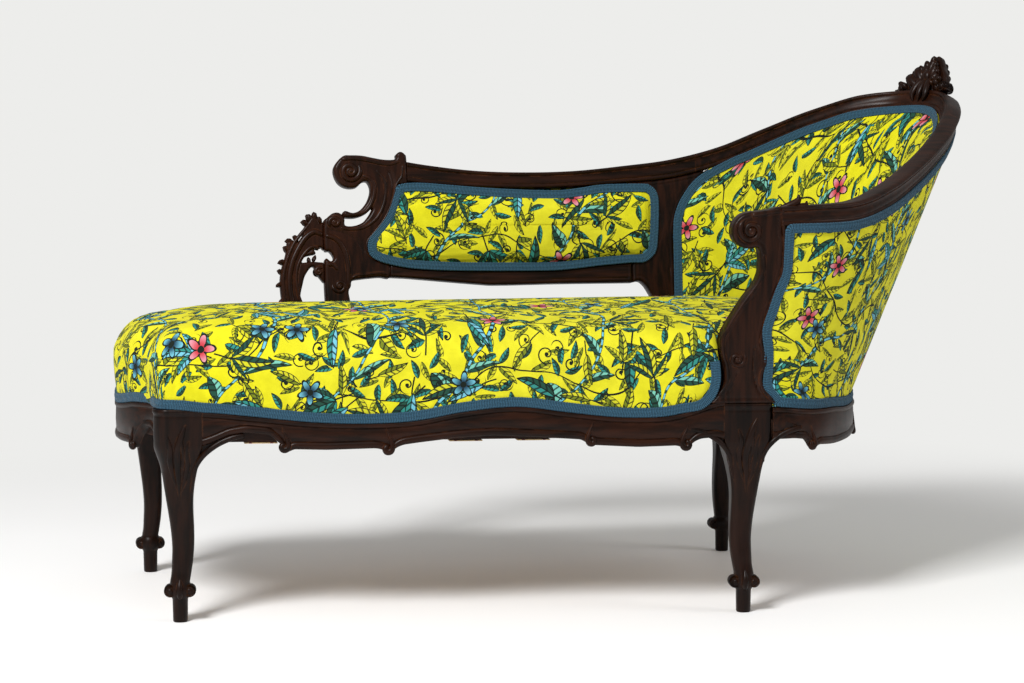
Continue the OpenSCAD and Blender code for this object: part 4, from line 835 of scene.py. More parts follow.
def scroll(centre, axis, forward, radius, depth):
    """Little scroll like a rolled ribbon: a round body carried along its axis, a little off round,
    with rounded ends and a raised eye."""
    a = np.linspace(0, 2 * np.pi, 40, endpoint=False)
    e = np.array([[-0.5, 0.8], [-0.42, 0.96], [-0.2, 1], [0.2, 1], [0.42, 0.96], [0.5, 0.8],
                  [0.46, 0.72], [0.46, 0.5], [0.54, 0.42], [0.57, 0.2], [0.57, 0.04]])
    e = np.concatenate([e[::-1] * [-1, 1], e[1:]])
    r = radius * e[:, 1][:, None] * (1 + 0.06 * np.cos(a + 0.6))[None]
    p = centre + axis * (e[:, 0] * depth)[:, None]
    return tube(p[:, None] + forward * (r * np.cos(a))[..., None] + UP * (r * np.sin(a))[..., None])


def curl(place_at, out, along, size, way):
    """Carved comma on a rail: a bar that thins up the face and rolls into a knob at its lower end."""
    line = np.array([[-5, 38], [-2.5, 30], [1.5, 21], [4, 12], [1.5, 4.5], [-4, 3.5], [-6.5, 8],
                     [-3.5, 11.5], [-1, 9]])
    r = np.array([0.6, 1.7, 3.0, 4.2, 5.2, 5.2, 4.6, 3.4, 1.2])
    k = np.linspace(0, len(line) - 1, 34)
    p, r = curve(line, k) * size, np.maximum(curve(r, k), 0.4) * size
    path = place_at + along * (p[:, :1] * way) + UP * p[:, 1:]
    return swept(path + out * 0.6, r, sides=12, up=out)


def two_d(v):
    return np.array([v[0], v[1], 0.0])


knee_lobes = [  # points (across, height) and the bar's radii
    ([[-1, 192], [0, 218], [2, 244], [0, 270], [-6, 292], [-13, 309]], [1.0, 3.8, 5.4, 5.8, 4.6, 1.2]),
    ([[-3, 204], [-9, 224], [-13, 246], [-13, 266], [-17, 284]], [1, 3.6, 4.6, 3.8, 1]),
    ([[3, 210], [9, 232], [12.5, 254], [11, 274], [15, 293]], [1, 3.6, 4.8, 4.0, 1]),
    ([[-4, 236], [-8, 260], [-5, 284], [-8, 300]], [1, 3.2, 3.8, 1])]


def knee_leaf(stand, forward):
    """Leaf of long lobes on the knee; each lobe is a flat bar that follows the leg's face."""
    beside = two_d([-forward[1], forward[0]])
    lobes = []
    for line, r in knee_lobes:
        k = np.linspace(0, len(line) - 1, 30)
        across, z = curve(np.array(line, float), k).T
        centre, w, _ = stand(z)
        path = np.column_stack([centre + forward * (w - np.abs(across) * 0.06 - 0.4)[:, None], z])
        radii = np.maximum(curve(np.array(r, float), k), 0.5)
        lobes.append(swept(path - beside * across[:, None], radii, 12, flat=0.62, up=two_d(forward)))
    return lobes


def ear(stand, origin, along, out, reach, drop, z1):
    """Curved ear that joins a leg to a rail: a board under a concave quarter of an oval, whose edge
    carries the rail's round moulding down on to the leg."""
    def side_of(z):
        centre, w, _ = stand(z)
        return (centre - origin) @ along + w

    def face_of(z):
        centre, w, _ = stand(z)
        return np.minimum((centre - origin) @ out + w, face_out)

    def on_face(p, d):
        return (two_d(origin) + two_d(along) * p[:, :1] + two_d(out) * (face_of(p[:, 1]) - d)[:, None]
                + UP * p[:, 1:2])

    start = side_of(np.array([z1 - drop]))[0]
    a = np.radians(np.linspace(0, 90, 24))
    edge = stack(reach - (reach - start) * np.cos(a) ** 1.25, z1 - drop + drop * np.sin(a))
    board = np.concatenate([[[8, z1 + 20], [8, z1 - drop - 4], [start - 6, z1 - drop - 4]], edge,
                            [[reach, z1 + 3], [reach * 0.7, z1 + 14]]])
    t = unit(np.gradient(edge, axis=0))
    low = z1 - drop - np.array([34, 24, 16, 8.0])
    bead = np.concatenate([stack(side_of(low) - [6, 5.2, 4.4, 3.9], low), edge + stack(-t[:, 1], t[:, 0]) * 3.6])
    n = len(bead)
    r = np.interp(np.arange(n), [0, 7, n - 5, n - 1], [0.8, 4.0, 4.8, 3.6])
    return [tube(np.stack([on_face(board, 26.0), on_face(board, 2.2)])),
            swept(on_face(bead, 2.4), r, 12, up=two_d(out))]


south, west = np.array([0, -1.0]), np.array([-1.0, 0])
legs = {  # top, foot, half width, turn, way out, worn corner, faces flush with rails, ears
    "front_left_leg": (
        foot_leg, foot_leg, leg_half, front_turn, unit(front_out - front_dir), 0.78, (front_out, -front_dir),
        [(front_dir, front_out, 100, 66, 288), (-front_out, -front_dir, 84, 58, 290)]),
    "front_right_leg": (
        arm_leg, arm_leg + front_out * 3.8, leg_half, front_turn, unit(front_out + front_dir), 0.3, (front_out,),
        [(-front_dir, front_out, 92, 58, 290), (front_dir, front_out, 84, 50, 290)]),
    "back_left_leg": (
        back_left, back_left + [0, 19], back_half, 0.0, unit([-1, 1]), 0.6, (), [(south, west, 80, 50, 292)]),
    "back_right_leg": (back_right, back_right + [0, 19], back_half, 0.0, unit([1, 1]), 0.5, (), [])}
for name, (top, foot, half, turn, out, worn, flush, ears) in legs.items():
    def stand(z):
        return leg_middle(z, top, foot, half, out)

    forward = front_out if "front" in name else np.array([0, 1.0])
    ahead = two_d(forward)
    beside = np.array([-ahead[1], ahead[0], 0])
    base = np.array([foot[0], foot[1], 49.0])
    curls = [scroll(base + beside * 14.5 * k + ahead * 2, ahead, beside * k, 9.6, 24) for k in (-1, 1)]
    tongue = swept(base + ahead * np.array([10, 16, 18.5, 17, 13])[:, None]
                   + UP * np.array([22, 10, 0, -8, -13])[:, None], [1, 4.5, 5.4, 4.2, 1], 12, up=beside)
    sides = [part for e in ears for part in ear(stand, top, *e)]
    shaft = leg_shape(top, foot, half, turn, out, worn, flush)
    carved("carved_" + name, join(shaft, *curls, tongue, *sides, *knee_leaf(stand, forward)), leg_wood, name)

# %% [markdown]
# ## Show-wood rails
#
# The rails between the legs are shaped boards. Their upper edge carries a bead that the braid sits
# on, their lower edge a rounded moulding that dips at carved commas. A section with both mouldings
# is carried along each rail; only its two heights change on the way, so the mouldings stay crisp.

# %% Rail shape
def smooth_low(table, s, width):
    """The rail's lower line from its table, each point averaged over a short stretch round it."""
    k = np.linspace(-1, 1, 9) * width
    return sum(line_of(table, np.clip(s + d, 0, 1)) for d in k) / len(k)


def rail_rings(face, out, low, top):
    """Section from the inner top edge over the step, the bead, the face and the lower moulding."""
    mid = (low + top) / 2
    a = np.radians([90, 55, 20, -20, -55, -80])
    o = [-30, -6, -6, -1.0, *(2.2 * np.cos(a)), -0.9, -0.5, 0.2, 0.9, 0.2, -0.4, -0.9, 1.0, 2.0, 2.4, 1.6, -0.6, -3.6,
         -10, -10, -30]
    z = [top + 16, top + 16, top, top, *(top - 3.6 + 3.5 * v for v in np.sin(a)), top - 8.3, top - 9.6, top - 11.5,
         mid, low + 13.6, low + 12.6, low + 11.6, low + 10.6, low + 8.5, low + 5.6, low + 2.6, low + 0.7, low,
         low, np.full_like(low, web_z), np.full_like(low, web_z)]
    o, z = np.array(o), np.stack(z, -1)
    xy = face[:, None] + out[:, None] * o[None, :, None]
    return np.concatenate([xy, z[..., None]], -1)


def rail_with_curls(face, out, low, top, curls):
    """Rail with its carved commas, each given by its share of the length, size and way."""
    shapes = [tube(rail_rings(face, out, low, top))]
    d = unit(np.gradient(face, axis=0))
    for share, size, way in curls:
        i = int(share * (len(face) - 1))
        at = np.array([face[i, 0], face[i, 1], low[i] - 1.5])
        shapes.append(curl(at, two_d(out[i]), two_d(d[i]), size, way))
    return join(*shapes)


s = np.linspace(0, 1, 300)
face = front_face(mix(rail_start, 1 - rail_start, s))
rail = rail_with_curls(face, np.repeat(front_out[None], len(s), 0), smooth_low(front_low_line, s, 0.006), front_top(s),
                       [(0.16, 1.0, 1), (0.356, 1.05, 1), (0.742, 0.95, -1), (0.925, 1.05, -1)])
carved("carved_front_rail", rail, wood_x, "front_seat_rail")
s = np.linspace(0, 1, 160)
rail = rail_with_curls(foot_face(s), foot_out(s), smooth_low(foot_low_line, s, 0.012), foot_top(s),
                       [(0.25, 0.95, 1), (0.81, 0.95, -1)])
carved("carved_foot_rail", rail, wood_y, "foot_end_rail")
k = np.linspace(0, 1, 260)
s = mix(sill_from, sill_to, k)
rail = rail_with_curls(head_face(s), head_out(s), smooth_low(sill_low_line, k, 0.008), sill_top(s),
                       [(0.106, 0.95, 1), (0.484, 0.95, 1), (0.872, 0.95, -1)])
carved("carved_head_rail", rail, wood_y, "head_end_rail")

# %% [markdown]
# ## Rim
#
# The rim is one flowing moulding from the arm post round the head end and along the back. Its
# rounded top, the groove under it and the cove down each face are one section, turned so that it
# always stands square to the padded wall below it.

# %% Rim shape
rim_section = np.array([
    [-0.40, -1], [-0.48, -0.93], [-0.5, -0.82], [-0.5, -0.64], [-0.455, -0.54], [-0.49, -0.42], [-0.455, -0.1],
    [-0.44, 0.2], [-0.47, 0.41], [-0.43, 0.5], [-0.47, 0.58], [-0.5, 0.68], [-0.49, 0.8], [-0.42, 0.93],
    [-0.28, 0.985], [-0.1, 1.0]])
rim_section = np.concatenate([rim_section, rim_section[::-1] * [-1, 1]])


def rim_rings(s):
    """Rings of the moulding: its middle line, plus its width out of the wall and its height up it."""
    s = np.asarray(s, float)
    e = ease(s - 0.5)[:, None]
    o = np.where((s < 1.5)[:, None], unit(mix(two_d(front_out), wall_out(s), e)), wall_out(s))
    w = np.where((s < 1.5)[:, None], unit(mix(UP, wall_up(s), e)), wall_up(s))
    a, b = rim_section[:, 0] * rim_t, rim_section[:, 1]
    return (rim(s)[:, None] + o[:, None] * a[None, :, None]
            + w[:, None] * (rim_half(s)[:, None] * b[None])[..., None])


crest_end = 19.372
tip = rim(np.array([0.78]))[0]
arm_leaf = [swept(tip + two_d(front_dir) * np.array(x, float)[:, None] + UP * np.array(h, float)[:, None],
                  r, 12, up=two_d(front_out))
            for x, h, r in (([-30, -18, -7, 0, 3, 1], [11, 13, 16.5, 21, 27, 32], [2, 5.5, 7, 6.2, 4.2, 1]),
                            ([-8, 2, 10, 15, 15], [9, 12, 14, 17.5, 22], [3, 6, 5.6, 3.6, 1]))]
carved("carved_arm_rail", join(tube(rim_rings(np.linspace(0.5, 6.5, 110))), *arm_leaf), wood_x, "arm_rail")
carved("carved_head_rim", tube(rim_rings(np.linspace(6.5, 13.5, 130))), wood_y, "head_crest_rail")
carved("carved_back_rim", tube(rim_rings(np.linspace(13.5, crest_end, 90))), wood_x, "back_crest_rail")

# %% [markdown]
# ## Carved boards
#
# The arm post, the end board with its open scroll, the pierced bracket, the back's stile and bottom
# rail and the crest ornament are boards sawn to an outline and then carved. The distance of every
# point from the outline gives the rounding of the edge and a bead that follows it; lines laid over
# the board, such as the spiral of a volute or the ribs of a leaf, raise or sink it near them.

# %% Relief on a sawn outline
def smooth_outline(points, sub):
    """Closed smooth curve through an outline's points, with sub steps between each two."""
    p = np.asarray(points, float)
    n = len(p)
    return curve(np.concatenate([p[-1:], p, p[:3]]), 1 + np.arange(n * sub) / sub)


def distance(points, line):
    """Distance of points from a chain of segments, and the nearest point on it."""
    a, b = line[:-1][None], line[1:][None]
    best = []
    for part in np.array_split(points, max(1, len(points) * len(line) // 2_000_000)):
        p = part[:, None]
        t = np.clip(((p - a) * (b - a)).sum(-1) / np.maximum(((b - a) ** 2).sum(-1), 1e-9), 0, 1)
        near = a + (b - a) * t[..., None]
        d = np.linalg.norm(p - near, axis=-1)
        i = d.argmin(1)
        best.append((d[np.arange(len(part)), i], near[np.arange(len(part)), i]))
    return np.concatenate([x for x, _ in best]), np.concatenate([x for _, x in best])


def inside(points, outline):
    """Whether points lie within a closed outline: an odd number of its edges pass to their right."""
    a, b = outline[None], np.roll(outline, -1, axis=0)[None]
    y = points[:, None, 1]
    crosses = (a[..., 1] > y) != (b[..., 1] > y)
    level = b[..., 1] == a[..., 1]
    x = a[..., 0] + (y - a[..., 1]) * (b[..., 0] - a[..., 0]) / np.where(level, 1, b[..., 1] - a[..., 1])
    return (crosses & (points[:, None, 0] < x)).sum(1) % 2 == 1


def spiral(centre, radius, turns, start, way, eye):
    """Spiral line: its radius falls evenly from the rim to the eye as it winds."""
    t = np.linspace(0, 1, int(26 * turns))
    a = np.radians(start) + way * 2 * np.pi * turns * t
    return np.asarray(centre) + (radius * (1 - (1 - eye) * t**0.85))[:, None] * np.stack([np.cos(a), np.sin(a)], -1)


def carve(points, strokes):
    """Relief of all strokes: a ridge is a half round, a groove a soft V, both fading at the ends."""
    height = np.zeros(len(points))
    for line, width, tall in strokes:
        line = np.asarray(line, float)
        if len(line) < 12:
            line = curve(line, np.linspace(0, len(line) - 1, 8 * len(line)))
        d, near = distance(points, line)
        along = np.minimum(np.linalg.norm(near - line[0], axis=1), np.linalg.norm(near - line[-1], axis=1))
        fade = np.clip(along / (1.2 * width), 0.15, 1)
        k = np.clip(d / width, 0, 1)
        height += tall * fade * (np.sqrt(1 - k**2) if tall > 0 else (1 - k) ** 2 * (1 + 2 * k))
    return height


def relief(line, thick, strokes=(), edge=6.0, bead=9.0, pitch=2.0, swell=0.0):
    """Carved board in its own plane: x, height and depth, front at depth 0 and back at thick."""
    shut = np.concatenate([line, line[:1]])
    lo, hi = line.min(0) - 2 * pitch, line.max(0) + 2 * pitch
    nx, ny = (np.ceil((hi - lo) / pitch).astype(int) + 1)
    x, y = np.meshgrid(lo[0] + np.arange(nx) * pitch, lo[1] + np.arange(ny) * pitch, indexing="ij")
    points = np.stack([x, y], -1).reshape(-1, 2)
    quads = grid_faces(nx, ny)
    quads = quads[inside(points[quads].mean(1), line)]
    used = np.unique(quads)
    number = np.full(len(points), -1)
    number[used] = np.arange(len(used))
    quads, points = number[quads], points[used]
    sides = np.stack([quads, np.roll(quads, -1, axis=1)], -1).reshape(-1, 2)
    key = sides.min(1) * len(points) + sides.max(1)
    _, first, count = np.unique(key, return_index=True, return_counts=True)
    border = sides[first[count == 1]]
    # each border point moves onto the outline, and its neighbours follow it half way
    border_points = np.unique(border)
    _, near = distance(points[border_points], shut)
    points[border_points] = near
    for _ in range(3):
        total, tally = np.zeros_like(points), np.zeros(len(points))
        for k in (1, 3):
            other = np.roll(quads, k, axis=1).ravel()
            np.add.at(total, quads.ravel(), points[other])
            np.add.at(tally, quads.ravel(), 1)
        moved = total / tally[:, None]
        free = np.ones(len(points), bool)
        free[border_points] = False
        points[free] = mix(points[free], moved[free], 0.5)
    d, _ = distance(points, shut)
    d[border_points] = 0
    k = np.clip(d / edge, 0, 1)
    fall = edge * 0.8 * (1 - np.sqrt(1 - (1 - k) ** 2))
    groove = 1.1 * np.exp(-((d - bead) / 1.1) ** 2) + 0.35 * np.clip((d - bead) / 3, 0, 1)
    inner = np.clip((d - 1.0) / 4, 0, 1)
    cut = carve(points, strokes) * inner
    front, back = fall + groove - swell * (1 - k) - cut, fall + groove - cut
    n = len(points)
    both = np.concatenate([np.column_stack([points, front]), np.column_stack([points, thick - back])])
    faces = quads.tolist() + (quads[:, ::-1] + n).tolist()
    faces += np.column_stack([border[:, 1], border[:, 0], border[:, 0] + n, border[:, 1] + n]).tolist()
    return both, faces, None


def on_back(shape, set_back=0.0):
    """From the plane of the back's boards, which lean back by the rake, to the room."""
    p, faces, uv = shape
    x, v, d = p[:, 0], p[:, 1], p[:, 2] + set_back
    return stack(x, back_y0 + v * math.sin(rake) + d * math.cos(rake),
                 sill_z + v * math.cos(rake) - d * math.sin(rake)), faces, uv


def slant(z):
    return np.asarray(z, float) / math.cos(rake)


def on_side(side, height, thick):
    """Depth of something that stands over a board's front (0) or back (1)."""
    return height if side == 0 else thick - height


def rib(line, radius, thick):
    """Raised round rib along a line on both faces of a board; it tapers at its ends and most of it
    stands out of the face."""
    line = np.asarray(line, float)
    p = curve(line, np.linspace(0, len(line) - 1, 10 * len(line)))
    r = np.asarray(radius, float)
    r = np.full(len(p), float(r)) if r.ndim == 0 else curve(r, np.linspace(0, len(r) - 1, len(p)))
    ends = np.clip(np.minimum(np.arange(len(p)), np.arange(len(p))[::-1]) / 5, 0, 1)
    r, sunk = np.maximum(r * (0.25 + 0.75 * np.sqrt(ends)), 0.4), 0.45
    return [swept(np.column_stack([p, on_side(k, r * sunk, thick)]), r, 12) for k in (0, 1)]


def snail(centre, radius, turns, start, way, thick, bar, sides=(0, 1)):
    """Rolled end of a scroll: a round bar winds into the eye and stands higher as it nears it."""
    line = spiral(centre, radius, turns, start, way, 0.1)
    k = np.linspace(0, 1, len(line))
    r = np.maximum(bar * (1 - 0.35 * k) * np.clip(k * 12, 0.2, 1), 0.4)
    lift = bar * (0.45 - 0.9 * k)
    bars = [swept(np.column_stack([line, on_side(s, lift, thick)]), r, 12) for s in sides]
    middle, lift = np.repeat(np.asarray(centre, float)[None], 5, 0), np.array([6, 1.5, -2.2, -4.2, -5.2]) * bar / 5
    r = np.array([1.0, 1.0, 0.92, 0.6, 0.1]) * bar * 1.15
    return bars + [swept(np.column_stack([middle, on_side(s, lift, thick)]), r, 16, up=[1, 0, 0]) for s in sides]


# %% Arm post
post_line = np.array([
    [0.5, 1], [0.3, 0.993], [0.14, 0.986], [0.01, 0.982], [-0.12, 0.97], [-0.21, 0.945], [-0.265, 0.915],
    [-0.28, 0.887], [-0.265, 0.85], [-0.2, 0.82], [-0.1, 0.8], [0.01, 0.796], [0.11, 0.801], [0.148, 0.778],
    [0.16, 0.72], [0.15, 0.672], [0.09, 0.62], [0.01, 0.579], [-0.11, 0.53], [-0.21, 0.474], [-0.31, 0.422],
    [-0.39, 0.371], [-0.45, 0.335], [-0.46, 0.301], [-0.44, 0.252], [-0.4, 0.209], [-0.38, 0.156],
    [-0.39, 0.109], [-0.45, 0.066], [-0.53, 0.03], [-0.56, 0], [0.38, 0], [0.37, 0.02], [0.28, 0.05],
    [0.23, 0.07], [0.2, 0.106], [0.2, 0.152], [0.25, 0.19], [0.275, 0.225], [0.26, 0.26], [0.2, 0.3],
    [0.18, 0.321], [0.19, 0.36], [0.21, 0.387], [0.25, 0.44], [0.31, 0.5], [0.38, 0.566], [0.45, 0.62],
    [0.49, 0.669], [0.515, 0.73], [0.52, 0.778], [0.535, 0.841], [0.5, 0.887]]) * [post_wide, post_tall]
volute = np.array([0.01, 0.887]) * [post_wide, post_tall]
eye = np.array([-0.19, 0.23]) * [post_wide, post_tall]
fine_post = smooth_outline(post_line, 5)
fine_post = np.concatenate([fine_post[:30 * 5 + 1], fine_post[31 * 5:]])
post_strokes = [
    ([[-18, 52], [-24, 34], [-34, 18]], 2.4, -1.8), ([[8, 90], [6, 60], [10, 32], [20, 14]], 2.4, -2.0)]
post_ribs = (
    snail(volute, 20, 1.9, 95, 1, leg_half, 5.2) + snail(eye, 13.5, 1.7, 60, -1, leg_half, 3.6, (0,))
    + rib([[52, 297], [34, 296.5], [16, 294], [1, 291.5]], [3, 3.6, 4, 4.4], leg_half)
    + rib([[21, 232], [21.5, 214], [19, 200], [12, 186], [2, 172], [-7, 160], [-15, 148], [-24, 134], [-33, 119],
           [-38.5, 108], [-41.5, 96], [-41, 84], [-38.8, 72], [-35, 60], [-33.8, 48], [-34, 36], [-39, 24],
           [-48, 13]], 2.8, leg_half)
    + rib([[50.5, 284], [53.6, 252], [52.2, 228], [50, 204], [42.8, 180], [32.6, 156], [25.3, 132], [19.8, 110],
           [17.6, 97], [21.4, 84], [25.2, 72], [24, 60], [19.2, 48], [17.6, 36], [20.4, 24], [29.4, 12.5],
           [38, 4]], 3.0, leg_half))
p, faces, _ = join(relief(fine_post, leg_half, post_strokes, swell=1.2), *post_ribs)
axis_x, axis_out = two_d(front_dir), two_d(front_out)
p = two_d(arm_leg) + [0, 0, block_top] + axis_x * p[:, :1] + UP * p[:, 1:2] + axis_out * (leg_half - p[:, 2:])
carved("carved_arm_post", (p, faces, None), wood_z, "arm_post")

# %% End board with its open scroll
end_line = np.array([
    [0, 0.84], [0.102, 0.862], [0.165, 0.836], [0.213, 0.775], [0.291, 0.716], [0.417, 0.66], [0.535, 0.615],
    [0.575, 0.581], [0.543, 0.549], [0.449, 0.52], [0.276, 0.499], [0.276, 0.44], [0.417, 0.443], [0.701, 0.435],
    [0.795, 0.427], [0.811, 0.403], [0.843, 0.377], [0.819, 0.318], [0.803, 0.186], [0.795, 0.003],
    [1.189, 0.003], [1.173, 0.106], [1.134, 0.212], [1.126, 0.292], [1.157, 0.34], [1.157, 0.52], [1.071, 0.517],
    [1.031, 0.533], [1.087, 0.562], [1.157, 0.573], [1.157, 0.69], [1.11, 0.714], [1.024, 0.735], [0.937, 0.735],
    [0.874, 0.711], [0.866, 0.679], [0.748, 0.676], [0.622, 0.692], [0.528, 0.727], [0.488, 0.756],
    [0.591, 0.729], [0.724, 0.714], [0.866, 0.716], [0.89, 0.735], [0.858, 0.745], [0.756, 0.735],
    [0.654, 0.748], [0.551, 0.788], [0.504, 0.838], [0.543, 0.875], [0.614, 0.875], [0.701, 0.851],
    [0.819, 0.849], [0.921, 0.865], [0.984, 0.897], [1, 0.936], [0.945, 0.971], [0.858, 0.995], [0.772, 0.997],
    [0.614, 0.995], [0.449, 0.984], [0.307, 0.976], [0.173, 0.976], [0.14, 0.985], [0.14, 1], [0.08, 1.012],
    [0.02, 1], [0, 0.975]])


def end_point(p):
    p = np.asarray(p, float)
    return stack(-214 - 127 * p[..., 0], slant(377 * p[..., 1]))


panel_line = np.array([
    [0, 0.23], [0.02, 0.15], [0.068, 0.092], [0.15, 0.04], [0.276, 0.013], [0.4, 0.003], [0.474, 0], [0.643, 0],
    [0.786, 0.046], [0.9, 0.075], [0.942, 0.079], [0.973, 0.145], [0.99, 0.27], [1, 0.67], [0.996, 0.855],
    [0.975, 0.94], [0.942, 0.965], [0.796, 0.955], [0.652, 0.897], [0.404, 0.93], [0.192, 0.99], [0.111, 0.975],
    [0.097, 0.914], [0.083, 0.77], [0.064, 0.625], [0.033, 0.487], [0.002, 0.362]])


def panel_outline(sub):
    """The panel's edge in the back's plane."""
    return smooth_outline(stack(-284 + 515 * panel_line[:, 0], slant(175 + 152 * panel_line[:, 1])), sub)


edge_of_panel, board_foot = panel_outline(4), 0.8


def beside_panel(line):
    """A board's outline cut by the panel: points inside the panel move onto its edge, and none lies
    below the boards' foot."""
    inner = inside(line, edge_of_panel)
    line[inner] = distance(line, np.concatenate([edge_of_panel, edge_of_panel[:1]]))[1][inner]
    line[:, 1] = np.maximum(line[:, 1], board_foot)
    return line


fine_end = beside_panel(smooth_outline(end_point(end_line), 4))
knob, top_eye = end_point([1.008, 0.692]), end_point([0.78, 0.923])
end_strokes = [
    (end_point([[0.25, 0.93], [0.2, 0.88], [0.19, 0.8], [0.25, 0.72], [0.38, 0.655]]), 5.0, -2.2),
    (end_point([[1.1, 0.66], [0.9, 0.645], [0.72, 0.61], [0.6, 0.55]]), 3.6, -1.6),
    (end_point([[0.9, 0.3], [0.9, 0.2], [0.91, 0.06]]), 3.2, -1.6)]


def end_rib(points, radius):
    return rib(end_point(points), radius, back_t)


def end_snail(centre, *sizes):
    return snail(centre, *sizes[:-1], back_t, sizes[-1])


end_ribs = (
    end_snail(top_eye, 19.5, 2.0, 60, -1, 5.6) + end_snail(knob, 11.5, 1.6, 250, -1, 4.6)
    + end_rib([[0.9, 0.975], [0.78, 0.982], [0.62, 0.978], [0.46, 0.966], [0.32, 0.955], [0.2, 0.955], [0.1, 0.965]],
              [4.2, 4.4, 4.2, 3.8, 3.2, 2.8, 2.4])
    + end_rib([[0.62, 0.903], [0.5, 0.888], [0.455, 0.85], [0.47, 0.805], [0.52, 0.765], [0.6, 0.738], [0.72, 0.728],
               [0.84, 0.727]], [3.4, 4, 4.4, 4.4, 4, 3.4, 2.6, 2])
    + end_rib([[0.42, 0.925], [0.33, 0.89], [0.3, 0.835], [0.33, 0.775], [0.4, 0.725], [0.5, 0.69], [0.64, 0.665],
               [0.82, 0.66], [0.93, 0.668]], [2.4, 3.2, 3.6, 3.8, 3.8, 3.6, 3.2, 2.8, 2.4])
    + end_rib([[0.06, 0.95], [0.075, 0.9], [0.15, 0.86], [0.2, 0.8], [0.27, 0.74], [0.36, 0.69], [0.47, 0.645],
               [0.56, 0.61], [0.585, 0.575], [0.53, 0.54], [0.4, 0.515], [0.29, 0.495]], 2.5)
    + end_rib([[1.15, 0.632], [1.05, 0.625], [0.95, 0.6], [0.875, 0.55], [0.845, 0.48], [0.85, 0.4]],
              [4.2, 5, 5.4, 5.2, 4.6, 3.4])
    + end_rib([[0.31, 0.455], [0.42, 0.46], [0.6, 0.455], [0.72, 0.452], [0.79, 0.44]], 2.6)
    + end_snail(end_point([0.965, 0.405]), 13, 1.6, 150, 1, 4.2)
    + end_rib([[1.13, 0.5], [1.05, 0.5], [0.99, 0.475]], [4.6, 4, 2.4])
    + end_snail(end_point([0.9, 0.235]), 9, 1.4, 100, 1, 3.4)
    + end_rib([[1.08, 0.33], [1.06, 0.22], [1.08, 0.12], [1.12, 0.03]], [3.4, 3.8, 3.6, 3])
    + end_rib([[0.84, 0.17], [0.85, 0.1], [0.84, 0.02]], 3))
board = relief(fine_end, back_t, end_strokes, edge=6.5, bead=60, swell=1.0)
carved("carved_end_board", on_back(join(board, *end_ribs)), wood_z, "end_stile")

# %% Pierced bracket under the scroll
bracket_line = np.array([
    [0, 0.959], [0.065, 0.956], [0.13, 0.989], [0.26, 1], [0.364, 0.963], [0.455, 0.923], [0.494, 0.867],
    [0.636, 0.841], [0.805, 0.849], [0.857, 0.768], [0.961, 0.675], [1, 0.59], [0.974, 0.487], [0.896, 0.369],
    [0.792, 0.258], [0.727, 0.148], [0.753, 0.004], [0.182, 0.004], [0.182, 0.074], [0.26, 0.177],
    [0.39, 0.295], [0.519, 0.406], [0.558, 0.498], [0.494, 0.583], [0.442, 0.631], [0.325, 0.679],
    [0.247, 0.686], [0.182, 0.646], [0.104, 0.613], [0, 0.59], [0, 0.7], [0.117, 0.716], [0.325, 0.719],
    [0.506, 0.716], [0.416, 0.753], [0.195, 0.768], [0.221, 0.797], [0.078, 0.808], [0, 0.801]])


def bracket_point(p):
    p = np.asarray(p, float)
    return stack(-361.24 - 77 * p[..., 0], slant(271 * p[..., 1]))


def bracket_rib(points, radii):
    return rib(bracket_point(points), radii, bracket_t)


bracket_t = 22
fine_bracket = smooth_outline(bracket_point(bracket_line), 4)
fine_bracket[:, 0] = np.minimum(fine_bracket[:, 0], -361.3)
fine_bracket[:, 1] = np.maximum(fine_bracket[:, 1], board_foot)
bracket_strokes = [(bracket_point([[0.2, 0.8], [0.42, 0.77], [0.58, 0.7], [0.64, 0.6], [0.6, 0.5]]), 3.4, -1.6)]
bracket_ribs = (
    bracket_rib([[0.02, 0.88], [0.2, 0.905], [0.4, 0.872], [0.58, 0.8], [0.72, 0.715], [0.79, 0.62], [0.77, 0.51],
                 [0.69, 0.41], [0.59, 0.3], [0.5, 0.18], [0.47, 0.04]],
                [5, 5.6, 5.8, 5.8, 5.8, 5.8, 5.6, 5.4, 5, 4.8, 4.4])
    + bracket_rib([[0.1, 0.8], [0.28, 0.81], [0.46, 0.765], [0.6, 0.69], [0.64, 0.6], [0.6, 0.51], [0.52, 0.44],
                   [0.4, 0.33], [0.3, 0.22], [0.25, 0.1]], [2.4, 3, 3.4, 3.4, 3.2, 3, 3, 3, 2.8, 2.4])
    + bracket_rib([[0.3, 0.96], [0.52, 0.89], [0.7, 0.82], [0.86, 0.71], [0.93, 0.6], [0.9, 0.47], [0.81, 0.33],
                   [0.7, 0.2], [0.68, 0.05]], [2.4, 3, 3.2, 3.4, 3.4, 3.2, 3, 2.8, 2.4])
    + snail(bracket_point([0.13, 0.655]), 8.5, 1.4, 20, 1, bracket_t, 3.4))
leafy, lift = [], np.array([7, 5.5, 4, 3, 5])
